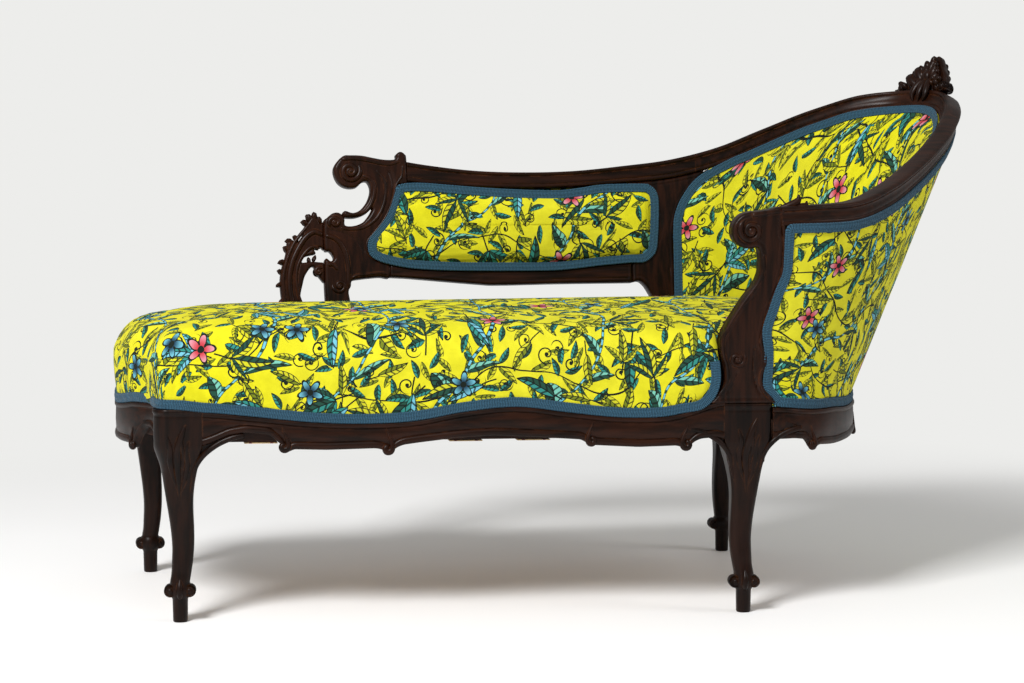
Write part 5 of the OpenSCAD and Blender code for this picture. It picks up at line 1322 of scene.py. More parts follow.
for u, v, tilt, size in [(0.08, 0.98, 100, 0.9), (0.2, 1.0, 75, 1.15), (0.3, 0.99, 110, 1.2), (0.4, 0.965, 140, 1.0),
                         (0.14, 0.97, 45, 0.8), (0.62, 0.87, 120, 0.8), (0.76, 0.85, 150, 1.0), (0.84, 0.8, 115, 0.9),
                         (0.93, 0.72, 165, 1.0), (0.98, 0.66, 130, 0.8), (1.0, 0.58, 185, 0.9), (0.96, 0.48, 205, 0.8),
                         (0.22, 0.74, 250, 0.7), (0.34, 0.73, 285, 0.6), (0.45, 0.7, 300, 0.5)]:
    b = bracket_point([u, v])
    d = np.array([math.cos(math.radians(tilt)), math.sin(math.radians(tilt))])
    line = b + np.array([-9, -4, 1, 5.0, 7])[:, None] * d * size
    line = line + np.array([0, 0, 0, 1.0, 3.0])[:, None] * np.array([-d[1], d[0]]) * size
    r = np.array([1.2, 4.2, 4.8, 3.2, 0.8]) * size
    leafy += [swept(np.column_stack([line, on_side(k, lift, bracket_t)]), r, flat=0.9) for k in (0, 1)]
board = relief(fine_bracket, bracket_t, bracket_strokes, edge=6, bead=60, swell=1.0, pitch=1.6)
carved("pierced_bracket", on_back(join(board, *bracket_ribs, *leafy), 3), wood_z, "scroll_bracket")

# %% Stile and bottom rail of the back
def crest_under(s):
    p = rim(s) - back_up * (rim_half(s) + 0.4)[:, None]
    return stack(p[:, 0], (p - [0, back_y0, sill_z]) @ back_up)


stile_line = np.array([
    [0, 0.442], [0.088, 0.448], [0.149, 0.43], [0.203, 0.395], [0.236, 0.355], [0.25, 0.203], [0.243, 0.003],
    [0.493, 0.003], [0.5, 0.203], [0.514, 0.346], [0.52, 0.494], [0.527, 0.677], [0.541, 0.727], [0.588, 0.805],
    [0.655, 0.86], [0.77, 0.922]])
stile_edge = stack(181 + 148 * stile_line[:, 0], slant(344 * stile_line[:, 1]))
stile_edge = curve(stile_edge, np.linspace(0, len(stile_edge) - 1, 90))
stile_edge = np.concatenate([stile_edge, crest_under(np.linspace(13.3, 14.9, 20))])
left = stack(np.full(20, 181.0), np.linspace(stile_edge[-1, 1], stile_edge[0, 1], 22)[1:-1])
board = relief(beside_panel(np.concatenate([stile_edge, left])), back_t, edge=5, bead=8)
carved("back_stile_board", on_back(board), wood_z, "back_stile")
low_edge = np.array([[0, 0.33], [0.07, 0.29], [0.13, 0.24], [0.365, 0.04], [0.45, 0], [0.695, 0.02], [1, 0.02]])
x = mix(-248.7, 180.7, low_edge[:, 0])
low_edge = curve(stack(x, slant(151 + 48 * low_edge[:, 1])), np.linspace(0, 6, 80))
under = (edge_of_panel[:, 1] < slant(260)) & (edge_of_panel[:, 0] > -262) & (edge_of_panel[:, 0] < 200)
upper = edge_of_panel[under]
upper = upper[np.argsort(upper[:, 0])]
high_x = low_edge[::-1, 0]
board = relief(np.concatenate([low_edge, stack(high_x, np.interp(high_x, *upper.T))]), back_t, edge=4.5, bead=7)
carved("back_bottom_board", on_back(board), wood_x, "back_bottom_rail")

# %% [markdown]
# ## Crest ornament
#
# On the highest stretch of the rim stands a cluster of carved leaves round a small shell. Each leaf
# is a bar that swells and curls outwards at its tip; the sawn board behind gives them their outline.

# %% Crest ornament
crest_s = 8.4
d, w = rim_dir(np.array([crest_s]))[0], wall_up(np.array([crest_s]))[0]
half = float(rim_half(np.array([crest_s]))[0]) + 0.1
foot_of = rim(np.array([crest_s]))[0] + w * half
d = unit(two_d(d))
perp = np.array([-d[1], d[0], 0])
lean = math.acos(w[2])
crest_tall = (80 - half) / w[2]


def on_crest(p):
    """From the ornament's own place, across, up and towards the inner side, to the room."""
    x, h, q = p[:, 0] + 8, p[:, 1], p[:, 2]
    return (foot_of + d * x[:, None] + perp * (q * math.cos(lean) - h * math.sin(lean))[:, None]
            + UP * (q * math.sin(lean) + h * math.cos(lean))[:, None])


crest_line = np.array([
    [-0.4, 0], [-0.41, 0.14], [-0.36, 0.3], [-0.33, 0.42], [-0.27, 0.55], [-0.2, 0.66], [-0.13, 0.82],
    [-0.04, 0.97], [0.04, 0.95], [0.11, 0.78], [0.2, 0.66], [0.25, 0.55], [0.33, 0.5], [0.38, 0.36],
    [0.48, 0.26], [0.56, 0.14], [0.64, 0.06], [0.66, 0]]) * [112, crest_tall]
crest_board = smooth_outline(crest_line, 4)
crest_board[:, 1] = np.maximum(crest_board[:, 1], 0.2)
ribs = [(np.array([[x * 0.25, 4], [x * 0.6, y * 0.5], [x, y]]), 2.2, -2.4)
        for x, y in ((-36, 14), (-28, 28), (-16, 40), (-2, 52), (16, 40), (32, 26), (50, 12))]
p, faces, _ = relief(crest_board, 16, ribs, edge=5, bead=40, swell=1.5, pitch=1.7)
shapes = [(on_crest(p * [1, 1, -1] + [0, 0, 8]), faces, None)]


def plume(points, radii, side, size=1.0):
    """Carved leaf on the ornament: a bar that swells, then narrows and curls over at its tip."""
    p = np.asarray(points, float) * [1, 1, side]
    k = np.linspace(0, len(p) - 1, 22)
    r = np.maximum(curve(np.asarray(radii, float), k), 0.5) * size
    return swept(on_crest(curve(p, k)), r, 12, flat=0.85, up=perp)


for side in (-1, 1):
    for x, h, lx, lh, size in [(2, 20, -2, 59, 1.3), (7, 16, 9, 49, 1.4), (14, 12, 20, 40, 1.35),
                               (22, 9, 32, 30, 1.25), (33, 7, 45, 20, 1.1), (46, 4, 60, 10, 0.9),
                               (-7, 15, -11, 47, 1.35), (-13, 10, -20, 34, 1.25), (-20, 7, -31, 20, 1.1),
                               (0, 8, 2, 32, 1.3), (14, 4, 20, 22, 1.2), (-12, 4, -16, 20, 1.2)]:
        k = np.array([0, 0.3, 0.55, 0.8, 0.96, 1.0])[:, None]
        line = np.hstack([mix(np.array([[x, h]]), np.array([[lx, lh]]), k),
                          np.array([8.0, 11.5, 12.5, 13.0, 15.5, 13.0])[:, None]])
        line[-1, 1] -= 4
        line[3:, 0] += np.array([0.6, 2.0, 4.0]) * (1 if lx > 0 else -1)
        shapes.append(plume(line, [2.4, 5.0, 6.2, 5.4, 4.2, 1.4], side, size * 1.08))
    for lobe in ([[6, 10, 8], [18, 21, 13], [27, 33, 14], [24, 43, 12]],
                 [[14, 4, 8], [30, 11, 13], [41, 20, 14], [39, 29, 12]]):
        shapes.append(plume(lobe, [4, 8.5, 9.5, 3], side))
    for x, tall in ((-39.0, 9.0), (-27.0, 6.0), (60.0, 5.0)):
        c = on_crest(np.array([[x, tall, side * 6.0]]))[0]
        shapes.append(scroll(c, perp * side, d * np.sign(x), 7.5 if x > 50 else 9.5, 14))
    for q in (-9, 0, 9):
        hanging = [[q * 0.6, 26, 9], [q, 16, 14.5], [q * 1.4, 6, 17.5], [q * 1.7, -5, 19], [q * 1.8, -15, 18.5],
                   [q * 1.3, -25, 16.5]]
        shapes.append(plume(hanging, [2, 5.6, 6.6, 6.2, 4.8, 1.2], side))
    middle = np.array([[0, 12, 8.0], [0, 18, 15.0], [0, 25, 17.5], [0, 33, 16], [0, 39, 11.0]])
    shapes.append(swept(on_crest(middle * [1, 1, side]), [5, 8, 9, 7, 2], 20, flat=0.6, up=perp))
carved("carved_crest_ornament", join(*shapes), leg_wood, "crest_ornament")

# %% [markdown]
# ## The domed seat
#
# The cover is one piece of cloth drawn over springs and horsehair and nailed into a step behind the
# rails' bead. It bulges a little over the nails, turns over a soft shoulder and rises to a low crown.
# Rings of points run round the seat from the nails to the crown; the cloth's flat place is the plan
# itself on top and, down the sides, the shoulder's point moved outwards by the length of the drop.

# %% Seat plan
clear, cover_t, braid_w, braid_t = 0.3, 2.0, 15.0, 3.0
seat_h, side_z, bulge, corner_r = 472, 400, 5, 38
cover_set = tack_set - cover_t
seat_back = back_y0 - cover_set
wall_len, wall_height = 1000, 340
bulge_line = [[0, 0], [0.12, 0.45], [0.35, 0.9], [0.65, 1], [1, 0.85]]
crown_line = [[0, 0], [0.012, 0.16], [0.03, 0.3], [0.06, 0.44], [0.1, 0.57], [0.17, 0.69], [0.27, 0.77],
              [0.42, 0.85], [0.65, 0.92], [0.94, 0.995], [1, 1]]
post_left_line = np.array([
    [0, -0.56], [0.03, -0.53], [0.066, -0.46], [0.109, -0.42], [0.209, -0.43], [0.252, -0.46], [0.301, -0.47],
    [1, -0.47]])


def swell(t, m, e):
    return np.sin(np.pi * np.clip((t - m) / (1 - 2 * m), 0, 1)).clip(0) ** e


def wall_pad(u, v):
    """Thickness of the wall's padding: thin under the braid, crowned between."""
    return 6 + 20 * swell(u, braid_w / wall_len, 0.4) * swell(v, braid_w / wall_height, 0.5)


def post_left(z):
    return post_wide * np.interp((z - block_top) / post_tall, *post_left_line.T)


RUNS = [("front corner", np.linspace(0, 90, 9)), ("front", np.linspace(rail_start, 0.868, 150)),
        ("post", np.linspace(0, 2, 17)), ("head", np.linspace(1.1, 13.3, 170)), ("back", np.linspace(0, 1, 80)),
        ("back corner", np.linspace(90, 180, 9)), ("foot", np.linspace(0.1, 0.93, 60))]


def run_plan(run, k, z, e, b):
    """Place of the seat's edge at level z, inset by e and bulged by b, on one run of its outline."""
    if run == "front corner":
        c, r, a = face_out - cover_set - corner_r, corner_r - e + b, np.radians(k)[:, None]
        return foot_leg + (front_out - front_dir) * c + (front_out * np.sin(a) - front_dir * np.cos(a)) * r[:, None]
    if run == "front":
        return front_face(k) - front_out * (cover_set + e - b)[:, None]
    if run == "post":
        x = post_left(z) - 3 * clear - e
        first = arm_leg + front_dir * x[:, None] + front_out * (face_out - cover_set - e + b)[:, None]
        turn = arm_leg + front_dir * x[:, None] - front_out * (2 * clear + e)[:, None]
        last = arm_leg + front_dir * 11.4 - front_out * (2 * clear + e)[:, None]
        t = k[:, None]
        return np.where(t < 1, mix(first, turn, ease(t)), mix(turn, last, ease(t - 1)))
    if run == "head":
        foot, head = wall_foot(k), wall_head(k)
        v = np.clip((z - foot[:, 2]) / (head[:, 2] - foot[:, 2]), 0, 1)
        a, w = wall_from(v), wall_to(v)
        u = np.clip((k - a) / (w - a), 0, 1)
        o = wall_out(k)
        h = np.linalg.norm(o[:, :2], axis=1)
        p = wall(k, v)[:, :2] - o[:, :2] / h[:, None] * ((wall_t / 2 + wall_pad(u, v) + 2 * clear + e) / h)[:, None]
        return stack(p[:, 0], np.minimum(p[:, 1], seat_back - e))
    if run == "back":
        return stack(mix(0.72 * arm_leg[0], back_left[0] + 3.4, k), seat_back - e + 0 * k)
    if run == "back corner":
        a = np.radians(k)
        centre = np.array([1.5 + cover_set + corner_r + back_left[0] - back_half, seat_back - corner_r])
        return centre + stack(np.cos(a), np.sin(a)) * (corner_r - e + 0 * z)[:, None]
    return foot_face(k) - foot_out(k) * (cover_set + e - b)[:, None]


def run_low(run, k):
    if run == "front":
        return front_top((k - rail_start) / (1 - 2 * rail_start)) + clear
    if run == "head":
        return sill_top(k) + tack_h + clear
    return (foot_top(k) if run == "foot" else np.full(len(k), float(block_top))) + clear


def soften(ring, times=4):
    """Rounds a closed ring: each point moves half way to the mean of its neighbours."""
    for _ in range(times):
        ring = ring / 2 + (np.roll(ring, 1, axis=0) + np.roll(ring, -1, axis=0)) / 4
    return ring


low = soften(np.concatenate([run_low(r, k) for r, k in RUNS]), 3)
split = np.cumsum([len(k) for _, k in RUNS])[:-1]
is_head = np.concatenate([np.full(len(k), r == "head") for r, k in RUNS])


def seat_plan(z, e, b):
    z = np.broadcast_to(z, low.shape).astype(float)
    e, b = np.full(len(low), float(e)), np.broadcast_to(b, low.shape).astype(float)
    levels = zip(*(np.split(q, split) for q in (z, e, b)))
    return soften(np.concatenate([run_plan(r, k, *q) for (r, k), q in zip(RUNS, levels)]))


def seat_side(h, e):
    z = mix(low, side_z, h)
    p = seat_plan(z, e, bulge * between(bulge_line, np.array([h]))[0, 0])
    return np.column_stack([p, z])


spine_from, spine_to, spine_y = 0.72 * back_left[0], 0.9 * arm_leg[0], (seat_back + arm_leg[1]) * 0.2


def seat_top(f, e):
    z = mix(side_z, seat_h - e, between(crown_line, np.array([f]))[0, 0])
    p = seat_plan(np.where(is_head, mix(side_z, z, 0.6), side_z), e, bulge * 0.85)
    q = stack(np.clip(p[:, 0], spine_from, spine_to), spine_y)
    return np.column_stack([mix(p, q, f), np.full(len(p), z)])


def dome(e, sides, tops):
    return np.stack([seat_side(h, e) for h in sides] + [seat_top(f, e) for f in tops])


def flat_place(rings, n):
    """Flat cloth place of a dome's points: the plan itself from ring n on, and before it the plan's
    point at ring n moved outwards by the length along the cloth."""
    edge = rings[n, :, :2]
    t = unit(np.roll(edge, -3, axis=0) - np.roll(edge, 3, axis=0))
    out = soften(stack(t[:, 1], -t[:, 0]), 10)
    step = np.linalg.norm(np.diff(rings[:n + 1], axis=0), axis=-1)
    drop = np.concatenate([np.cumsum(step[::-1], axis=0)[::-1], np.zeros((1, rings.shape[1]))])
    uv = rings[..., :2].copy()
    uv[:n + 1] = edge + out * drop[..., None]
    return uv * MM


sides = np.linspace(0, 1, 12)
tops = np.concatenate([[0.006, 0.014, 0.024, 0.036, 0.05, 0.067, 0.087], np.linspace(0.11, 0.95, 22), [0.975]])
cover = dome(0, sides, tops)
# the nails pull shallow puckers into the cloth just above the braid; they fade at the shoulder
arc = np.concatenate([[0], np.cumsum(np.linalg.norm(np.diff(cover[4], axis=0), axis=1))])
pucker = 0.45 * np.sin(arc * 2 * np.pi / 43) + 0.35 * np.sin(arc * 2 * np.pi / 29 + 1) + 0.3 * np.sin(arc / 11.0 + 2)
level = np.arange(len(cover))
rise = np.clip((level - 1) / 4, 0, 1) * np.clip((19 - level) / 9, 0, 1)
edge_dir = unit(np.roll(cover[6], -2, axis=0) - np.roll(cover[6], 2, axis=0))
outwards = stack(edge_dir[:, 1], -edge_dir[:, 0], 0)
hold = np.concatenate([np.full(len(k), float(r in ("front corner", "front", "foot"))) for r, k in RUNS])
cover = cover + outwards[None] * (rise[:, None] * (pucker * soften(hold, 30))[None])[..., None]
uv = flat_place(cover, 15)


def blown(grid, held, free, outward, cap, every, rows=None, wrap=True):
    """How far cloth moves when it is cut a little large, held along its borders and blown outwards for
    20 frames. A coarse copy of the grid is run as cloth without gravity; what each of its points moved
    is spread over the fine grid, kept under cap and faded out where the cloth isn't free."""
    pressure, slack, frames = 0.8, 0.025, 20
    n, m = grid.shape[:2]
    rows = rows or n
    down = np.unique(np.append(np.arange(0, rows, every[0]), rows - 1))
    across = np.arange(0, m, every[1]) if wrap else np.unique(np.append(np.arange(0, m, every[1]), m - 1))
    rough = grid[np.ix_(down, across)]
    mesh = bpy.data.meshes.new("cloth_run")
    faces = grid_faces(len(down), len(across), wrap_cols=wrap).tolist()
    mesh.from_pydata((rough.reshape(-1, 3) * MM).tolist(), [], faces)
    normals = np.zeros(len(mesh.polygons) * 3)
    mesh.polygons.foreach_get("normal", normals)
    if (normals.reshape(-1, 3) @ np.array(outward, float)).sum() < 0:
        mesh.flip_normals()
    work = bpy.data.objects.new("cloth_run", mesh)
    bpy.context.scene.collection.objects.link(work)
    pins = work.vertex_groups.new(name="held")
    pins.add(np.flatnonzero(held[np.ix_(down, across)].ravel()).tolist(), 1.0, "REPLACE")
    run = work.modifiers.new("blow", "CLOTH")
    cloth = run.settings
    cloth.quality, cloth.mass, cloth.vertex_group_mass = 5, 0.3, "held"
    cloth.tension_stiffness = cloth.compression_stiffness = 40
    cloth.shear_stiffness, cloth.bending_stiffness = 8, 0.4
    cloth.use_pressure, cloth.uniform_pressure_force, cloth.shrink_min = True, pressure, -slack
    cloth.effector_weights.gravity = 0
    run.point_cache.frame_start, run.point_cache.frame_end = 1, frames
    scene = bpy.context.scene
    for number in range(1, frames + 1):
        scene.frame_set(number)
    end = work.evaluated_get(bpy.context.evaluated_depsgraph_get())
    at = np.zeros(len(end.data.vertices) * 3, np.float32)
    end.data.vertices.foreach_get("co", at)
    step = at.reshape(rough.shape).astype(float) / MM - rough
    bpy.data.objects.remove(work)
    bpy.data.meshes.remove(mesh)
    scene.frame_set(1)
    # spread over the fine grid, first down its rows, then along them
    k = np.interp(np.arange(n), down, np.arange(len(down)))
    low_row = np.minimum(k.astype(int), len(down) - 2)
    step = mix(step[low_row], step[low_row + 1], (k - low_row)[:, None, None])
    marks = np.append(across, m) if wrap else across
    k = np.interp(np.arange(m), marks, np.arange(len(marks)))
    low_col = np.minimum(k.astype(int), len(marks) - 2)
    step = mix(step[:, low_col], step[:, (low_col + 1) % len(across)], (k - low_col)[None, :, None])
    if wrap:
        step = soften(step.transpose(1, 0, 2), 2).transpose(1, 0, 2)
    size = np.linalg.norm(step, axis=-1, keepdims=True)
    print("cloth run:", rough.shape[:2], "moved up to", round(float(size.max()), 1), "mm")
    step = step * (cap / (size + cap)) * free[..., None]
    # the stuffing holds it: nothing moves inwards by more than half a millimetre
    along = np.roll(grid, -1, axis=1) - np.roll(grid, 1, axis=1) if wrap else np.gradient(grid, axis=1)
    normal = unit(np.cross(np.gradient(grid, axis=0), along) + 1e-9)
    normal = normal * np.sign((normal @ np.array(outward, float)).sum())
    inwards = np.minimum((step * normal).sum(-1) + 0.5, 0)
    return step - normal * inwards[..., None]


def shell(outer, inner, uv):
    """Closed dome of cloth: an outer and an inner set of rings that share their lowest edge."""
    n, m = outer.shape[:2]
    q, k = n * m, len(inner)
    faces = grid_faces(n, m, wrap_cols=True).tolist() + [list(range(q - m, q))]
    faces += grid_faces(k, m, wrap_cols=True, start=q)[:, ::-1].tolist()
    faces += [list(range(q + k * m - m, q + k * m))[::-1]]
    e = np.arange(m)
    faces += np.stack([np.roll(e, -1), e, e + q, np.roll(e, -1) + q], -1).tolist()
    points = np.concatenate([outer.reshape(-1, 3), inner.reshape(-1, 3)])
    return points, faces, np.concatenate([uv, *[uv[:1]] * k]).reshape(-1, 2)


def flat_area(rings):
    """Area of the surface through rings of points, in square metres."""
    a, b = rings[:-1], rings[1:]
    c, d = np.roll(b, -1, axis=1), np.roll(a, -1, axis=1)
    halves = [np.linalg.norm(np.cross(p - a, q - a), axis=-1) for p, q in ((c, b), (d, c))]
    return float((halves[0] + halves[1]).sum() / 2e6)


def cut_area(border):
    """Area inside a closed line on the flat cloth: half the sum of its corners' cross products."""
    x, y = border.T
    return abs(float((x * np.roll(y, -1) - y * np.roll(x, -1)).sum())) / 2


def cut_size(points):
    """Smallest upright rectangle that holds the flat cloth, in metres, rounded up to a centimetre."""
    return tuple(float(x) for x in np.ceil(np.ptp(points.reshape(-1, 2), axis=0) * 100) / 100)


# the sides under the braid and the sides by the post, the wall and the back stay where they are
level = np.arange(len(cover))[:, None]
loose = soften(hold, 12)[None]
free = np.where(level < 20, loose, mix(loose, 1.0, np.clip((level - 20) / 8, 0, 1)))
free = free * np.clip((level - 3) / 5, 0, 1)
move = blown(cover, (free < 0.02) & (level < 24), free, (0, 0, 1), 5, (1, 3), rows=36)
move[35:] = mix(move[35], soften(move[35], 400), np.linspace(0, 1, len(cover) - 35)[:, None, None])
cover = cover + move

few = [0.02, 0.06, 0.12, 0.27, 0.45, 0.7, 0.97]
inner = dome(cover_t, [0, 0.25, 0.5, 0.75, 1], few)
piece = make("seat_cloth", shell(cover, inner, uv), printed, "seat_cover")
area = cut_area(uv[0])
print("seat cloth: cut", cut_size(uv[0]), round(area, 3), "and drawn over the seat", round(flat_area(cover), 3))

# %% Stuffing, hessian, springs and webbing
def level_ring(z, e):
    h = (z - low) / (side_z - low)
    p = seat_plan(np.full(len(low), float(z)), e, bulge * between(bulge_line, np.clip(h, 0, 1))[:, 0])
    return np.column_stack([p, np.full(len(low), float(z))])


hessian_z, wire_d, web_t, web_w, pitch = 372, 4, 2, 50, 104
e = cover_t + clear
pad = np.stack([level_ring(hessian_z + 1.5, e), level_ring(386, e), seat_side(1, e),
                *(seat_top(f, e + 0.2) for f in few)])
piece = make("horsehair_pad", tube(pad), hair, "seat_stuffing")
ring = level_ring(hessian_z, cover_t + 4 * clear)
spine = np.column_stack([np.clip(ring[:, 0], spine_from, spine_to), np.full(len(ring), spine_y), ring[:, 2]])
k = np.linspace(0, 0.97, 14)[:, None, None]
disc = mix(ring[None], spine[None], k)
both = np.concatenate([disc[::-1], disc + [0, 0, 1.2]])
piece = make("spring_hessian", tube(both), hessian_cloth, "seat_hessian")
area = flat_area(disc)

turns, r0 = 3, 34
t = np.linspace(0, 1, 96)
r = r0 * (0.72 + 0.28 * np.abs(2 * t - 1) ** 1.5)
coil = stack(r * np.cos(2 * np.pi * turns * t), r * np.sin(2 * np.pi * turns * t),
             mix(web_z + wire_d / 2 + clear, hessian_z - wire_d / 2 - clear, t))
coils = [swept(coil + [i * pitch, j * pitch * 1.15 + pitch * 0.33, 0], np.full(len(t), wire_d / 2), 8)
         for i in (-5, -3, -1, 1) for j in (-1, 0)]
make("coil_springs", join(*coils), steel, "seat_springs")

web_set = 10 + 2 * clear
head_s, foot_s = np.linspace(0.7, 11.6, 60), np.linspace(0.04, 0.95, 40)
outline = np.concatenate([
    front_face(np.linspace(rail_start + 0.01, 1 - rail_start - 0.01, 40)) - front_out * web_set,
    [arm_leg - (front_dir + front_out) * 40, arm_leg + (front_dir - front_out) * 40],
    head_face(head_s) - head_out(head_s) * web_set,
    [back_right - 36, [back_right[0] - 36, 243], [back_left[0] + 36, 243], back_left + [36, -36]],
    foot_face(foot_s) - foot_out(foot_s) * web_set,
    [foot_leg + (front_dir - front_out) * 40]])


def span(outline, at, axis):
    """Where a straight line at one value of an axis crosses an outline: its two outer crossings."""
    a, b = outline, np.roll(outline, -1, axis=0)
    hit = (a[:, axis] > at) != (b[:, axis] > at)
    t = (at - a[hit, axis]) / (b[hit, axis] - a[hit, axis])
    q = mix(a[hit, 1 - axis], b[hit, 1 - axis], t)
    return q.min(), q.max()


def strip(axis, middle):
    """Webbing strip along x (axis 1) or y (axis 0), woven over and under those that cross it."""
    edges = np.linspace(middle - web_w / 2, middle + web_w / 2, 5)
    ends = np.array([span(outline, a, axis) for a in edges])
    t = np.linspace(0, 1, 90)[:, None]
    run = mix(ends[:, 0], ends[:, 1], t)
    wave, level = np.sin((run / (pitch if axis else pitch * 1.15) + 0.5) * np.pi) * 0.75, 279.4
    grid = stack(run, edges, level + wave) if axis else stack(edges, run, level - wave)
    uv = stack(run, edges - middle) * MM
    return slab(grid + [0, 0, 0.7], grid - [0, 0, 0.7], uv)


strips = [strip(0, i * pitch) for i in range(-5, 4)] + [strip(1, j * pitch * 1.15 - web_w / 2) for j in (-1, 0, 1)]
piece = make("seat_webbing_strips", join(*strips), web_cloth, "seat_webbing")

# %% [markdown]
# ## The padded wall and its outer cloth
#
# Inside the head end the cloth lies over webbing and a layer of hair, so it is crowned between its
# braided edges; outside it is drawn flat. A sheet that bends round a cone unrolls into a fan, and
# that fan gives the print its place, so the pattern keeps its size from the sill to the rim.

# %% Wall
def fan(u, v):
    """Flat place of the wall's cloth: part of a ring whose inner edge is the sill, outer the rim."""
    turn = 1.05
    r = 0.86 + v * 0.335
    a = (u - 0.5) * turn
    return stack(r * np.sin(a), r * np.cos(a))


u, v = np.meshgrid(np.linspace(0, 1, 260), np.linspace(0, 1, 72), indexing="ij")
lump = 0.7 * np.sin(u * 61 + 3 * np.sin(v * 7)) * swell(v, 0.1, 1) * np.sin(v * 9 + u * 23)
pad = wall_pad(u, v) + lump * swell(u, 0.03, 0.5)
front = wall_point(u, v, -wall_t / 2 - pad)
free = swell(u, 0.022, 0.35) * swell(v, 0.055, 0.35)
front = front + blown(front, free < 0.05, free, (0, 0, 1), 8, (4, 3), wrap=False)
piece = make("wall_inner_cloth", slab(front, wall_point(u, v, -wall_t / 2 + 0 * u), fan(u, v)), printed,
             "wall_inner_pad")


def skirt(u, v, o):
    """The outer cloth: the wall itself, and below it a short drop over the rail's step."""
    s = wall_at(u, np.maximum(v, 0))
    p, d = wall_foot(s), head_out(s)
    low_part = p + stack(d[..., 0] * o, d[..., 1] * o, (tack_h - clear) * np.minimum(v, 0))
    return np.where((v < 0)[..., None], low_part, wall_point(u, np.maximum(v, 0), o))


v1 = np.concatenate([np.linspace(-0.9, 0, 8)[:-1], np.linspace(0, 1, 50)])
u, v = np.meshgrid(np.linspace(0, 1, 240), v1, indexing="ij")
o = wall_t / 2 + 3 * clear
ripple = 0.35 * np.sin(u * 47 + 2 * np.sin(v * 5)) * swell(v, 0.03, 0.7)
outside = skirt(u, v, o + cover_t + 2 * clear * np.sin(np.pi * np.maximum(v, 0)) + ripple)
flat = fan(u, np.where(v < 0, v * 0.05, v)) + [2.3, 0.4]
piece = make("wall_outer_cloth", slab(outside, skirt(u, v, o + 0 * u), flat), printed,
             "wall_outer_cover")
area = cut_area(np.concatenate([flat[:, 0], flat[-1, 1:], flat[-2::-1, -1], flat[0, -2:0:-1]]))
step_u, step_v = outside[1:, :-1] - outside[:-1, :-1], outside[:-1, 1:] - outside[:-1, :-1]
print("outer cloth: cut", cut_size(flat), round(area, 3), "and drawn over the wall",
      round(float(np.linalg.norm(np.cross(step_u, step_v), axis=-1).sum()) * 1e-6, 3), "square metres")
half = web_w / wall_height / 2
bands = []
for k in (0.42, 0.74):
    u, v = np.meshgrid(np.linspace(0.055, 0.945, 120), np.linspace(k - half, k + half, 5), indexing="ij")
    o = wall_t / 2 - 3 * clear
    strip_place = np.stack([u * 1.1, (v - k) * wall_height * MM], -1)
    bands.append(slab(wall_point(u, v, o + 0 * u), wall_point(u, v, o - web_t + clear + 0 * u), strip_place))
piece = make("wall_webbing_strips", join(*bands), web_cloth, "wall_webbing")
length = [float(np.linalg.norm(np.diff(b[0][2:600:5], axis=0), axis=1).sum()) for b in bands]
print("wall webbing:", [round(x) for x in length], "mm")

# %% Back panel
c = np.array([-26.5, float(slant(175 + 72.96))])
reach = 257.5 - 76


def moved_out(line, by):
    """A closed line moved outwards by a distance, square to itself."""
    t = unit(np.roll(line, -2, axis=0) - np.roll(line, 2, axis=0))
    turn = np.sign((line[:, 0] * np.roll(line[:, 1], -1) - np.roll(line[:, 0], -1) * line[:, 1]).sum())
    return line + soften(stack(t[:, 1], -t[:, 0]), 6) * turn * by


def panel_ring(f, depth, grow=-clear):
    a = moved_out(panel_outline(6), grow)
    b = stack(np.clip(a[:, 0], c[0] - reach, c[0] + reach), c[1])
    q = mix(a, b, f)
    return np.column_stack([q, np.full(len(q), float(depth))])


f = np.concatenate([[0.05, 0.12, 0.17, 0.2], np.linspace(0.21, 0.36, 8), np.linspace(0.4, 0.95, 16)])
k = np.interp(f, [0, 0.17, 0.2, 0.25, 0.34, 0.52, 0.85, 1], [0, 0, 0.1, 0.4, 0.68, 0.92, 1, 1.01])
rings = np.stack([panel_ring(0, back_t - clear), panel_ring(0, 10), panel_ring(0, -cover_t),
                  *(panel_ring(a, -cover_t - 16 * b) for a, b in zip(f, k))])
uv = rings[..., :2] * MM + [0.35, 1.7]
level = np.arange(len(rings))[:, None]
free = np.repeat(np.clip((level - 6) / 5, 0, 1), rings.shape[1], axis=1)
rings[3:] += blown(rings[3:], free[3:] == 0, free[3:], (0, 0, -1), 6, (1, 3), rows=len(rings) - 6)
piece = make("panel_cloth", on_back(tube(rings, uv)), printed, "panel_pad")
depth = (back_t + rim_t) / 2 + clear
ring = np.array([panel_ring(q, 0, braid_w * 0.7)[:, :2] for q in np.linspace(0, 0.96, 12)])
back, front = (stack(ring[..., 0], ring[..., 1], z) for z in (depth, depth + cover_t))
rings = np.concatenate([back[::-1], front])
piece = make("panel_back_cloth", on_back(tube(rings, rings[..., :2] * [-MM, MM] + [3.1, 2.2])), printed,
             "panel_outer_cover")
round(flat_area(front), 3)

# %% [markdown]
# ## Braid
#
# Every edge of cloth is covered by one flat woven braid. Its section is a low arch with a cord along
# each edge; the cross ribs are waves of its height and width along its length, 4.4 mm apart.

# %% Braid shape
braid_step, rib_gap = 1.5, 4.4


def even(points, *others, loop=False):
    """Points of a smooth curve at equal distances, and other tables read at the same places."""
    p = np.asarray(points, float)
    tables = [p, *(np.asarray(q, float) for q in others)]
    if loop:
        tables = [np.concatenate([q[-1:], q, q[:3]]) for q in tables]
    s = np.linspace(1 if loop else 0, len(p) + 1 if loop else len(p) - 1, len(p) * 40)
    line = curve(tables[0], s)
    run = np.concatenate([[0], np.cumsum(np.linalg.norm(np.diff(line, axis=0), axis=1))])
    n = max(8, int(round(run[-1] / braid_step)))
    at = np.interp(np.linspace(0, run[-1], n + 1), run, s)
    return [curve(q, at) for q in tables]


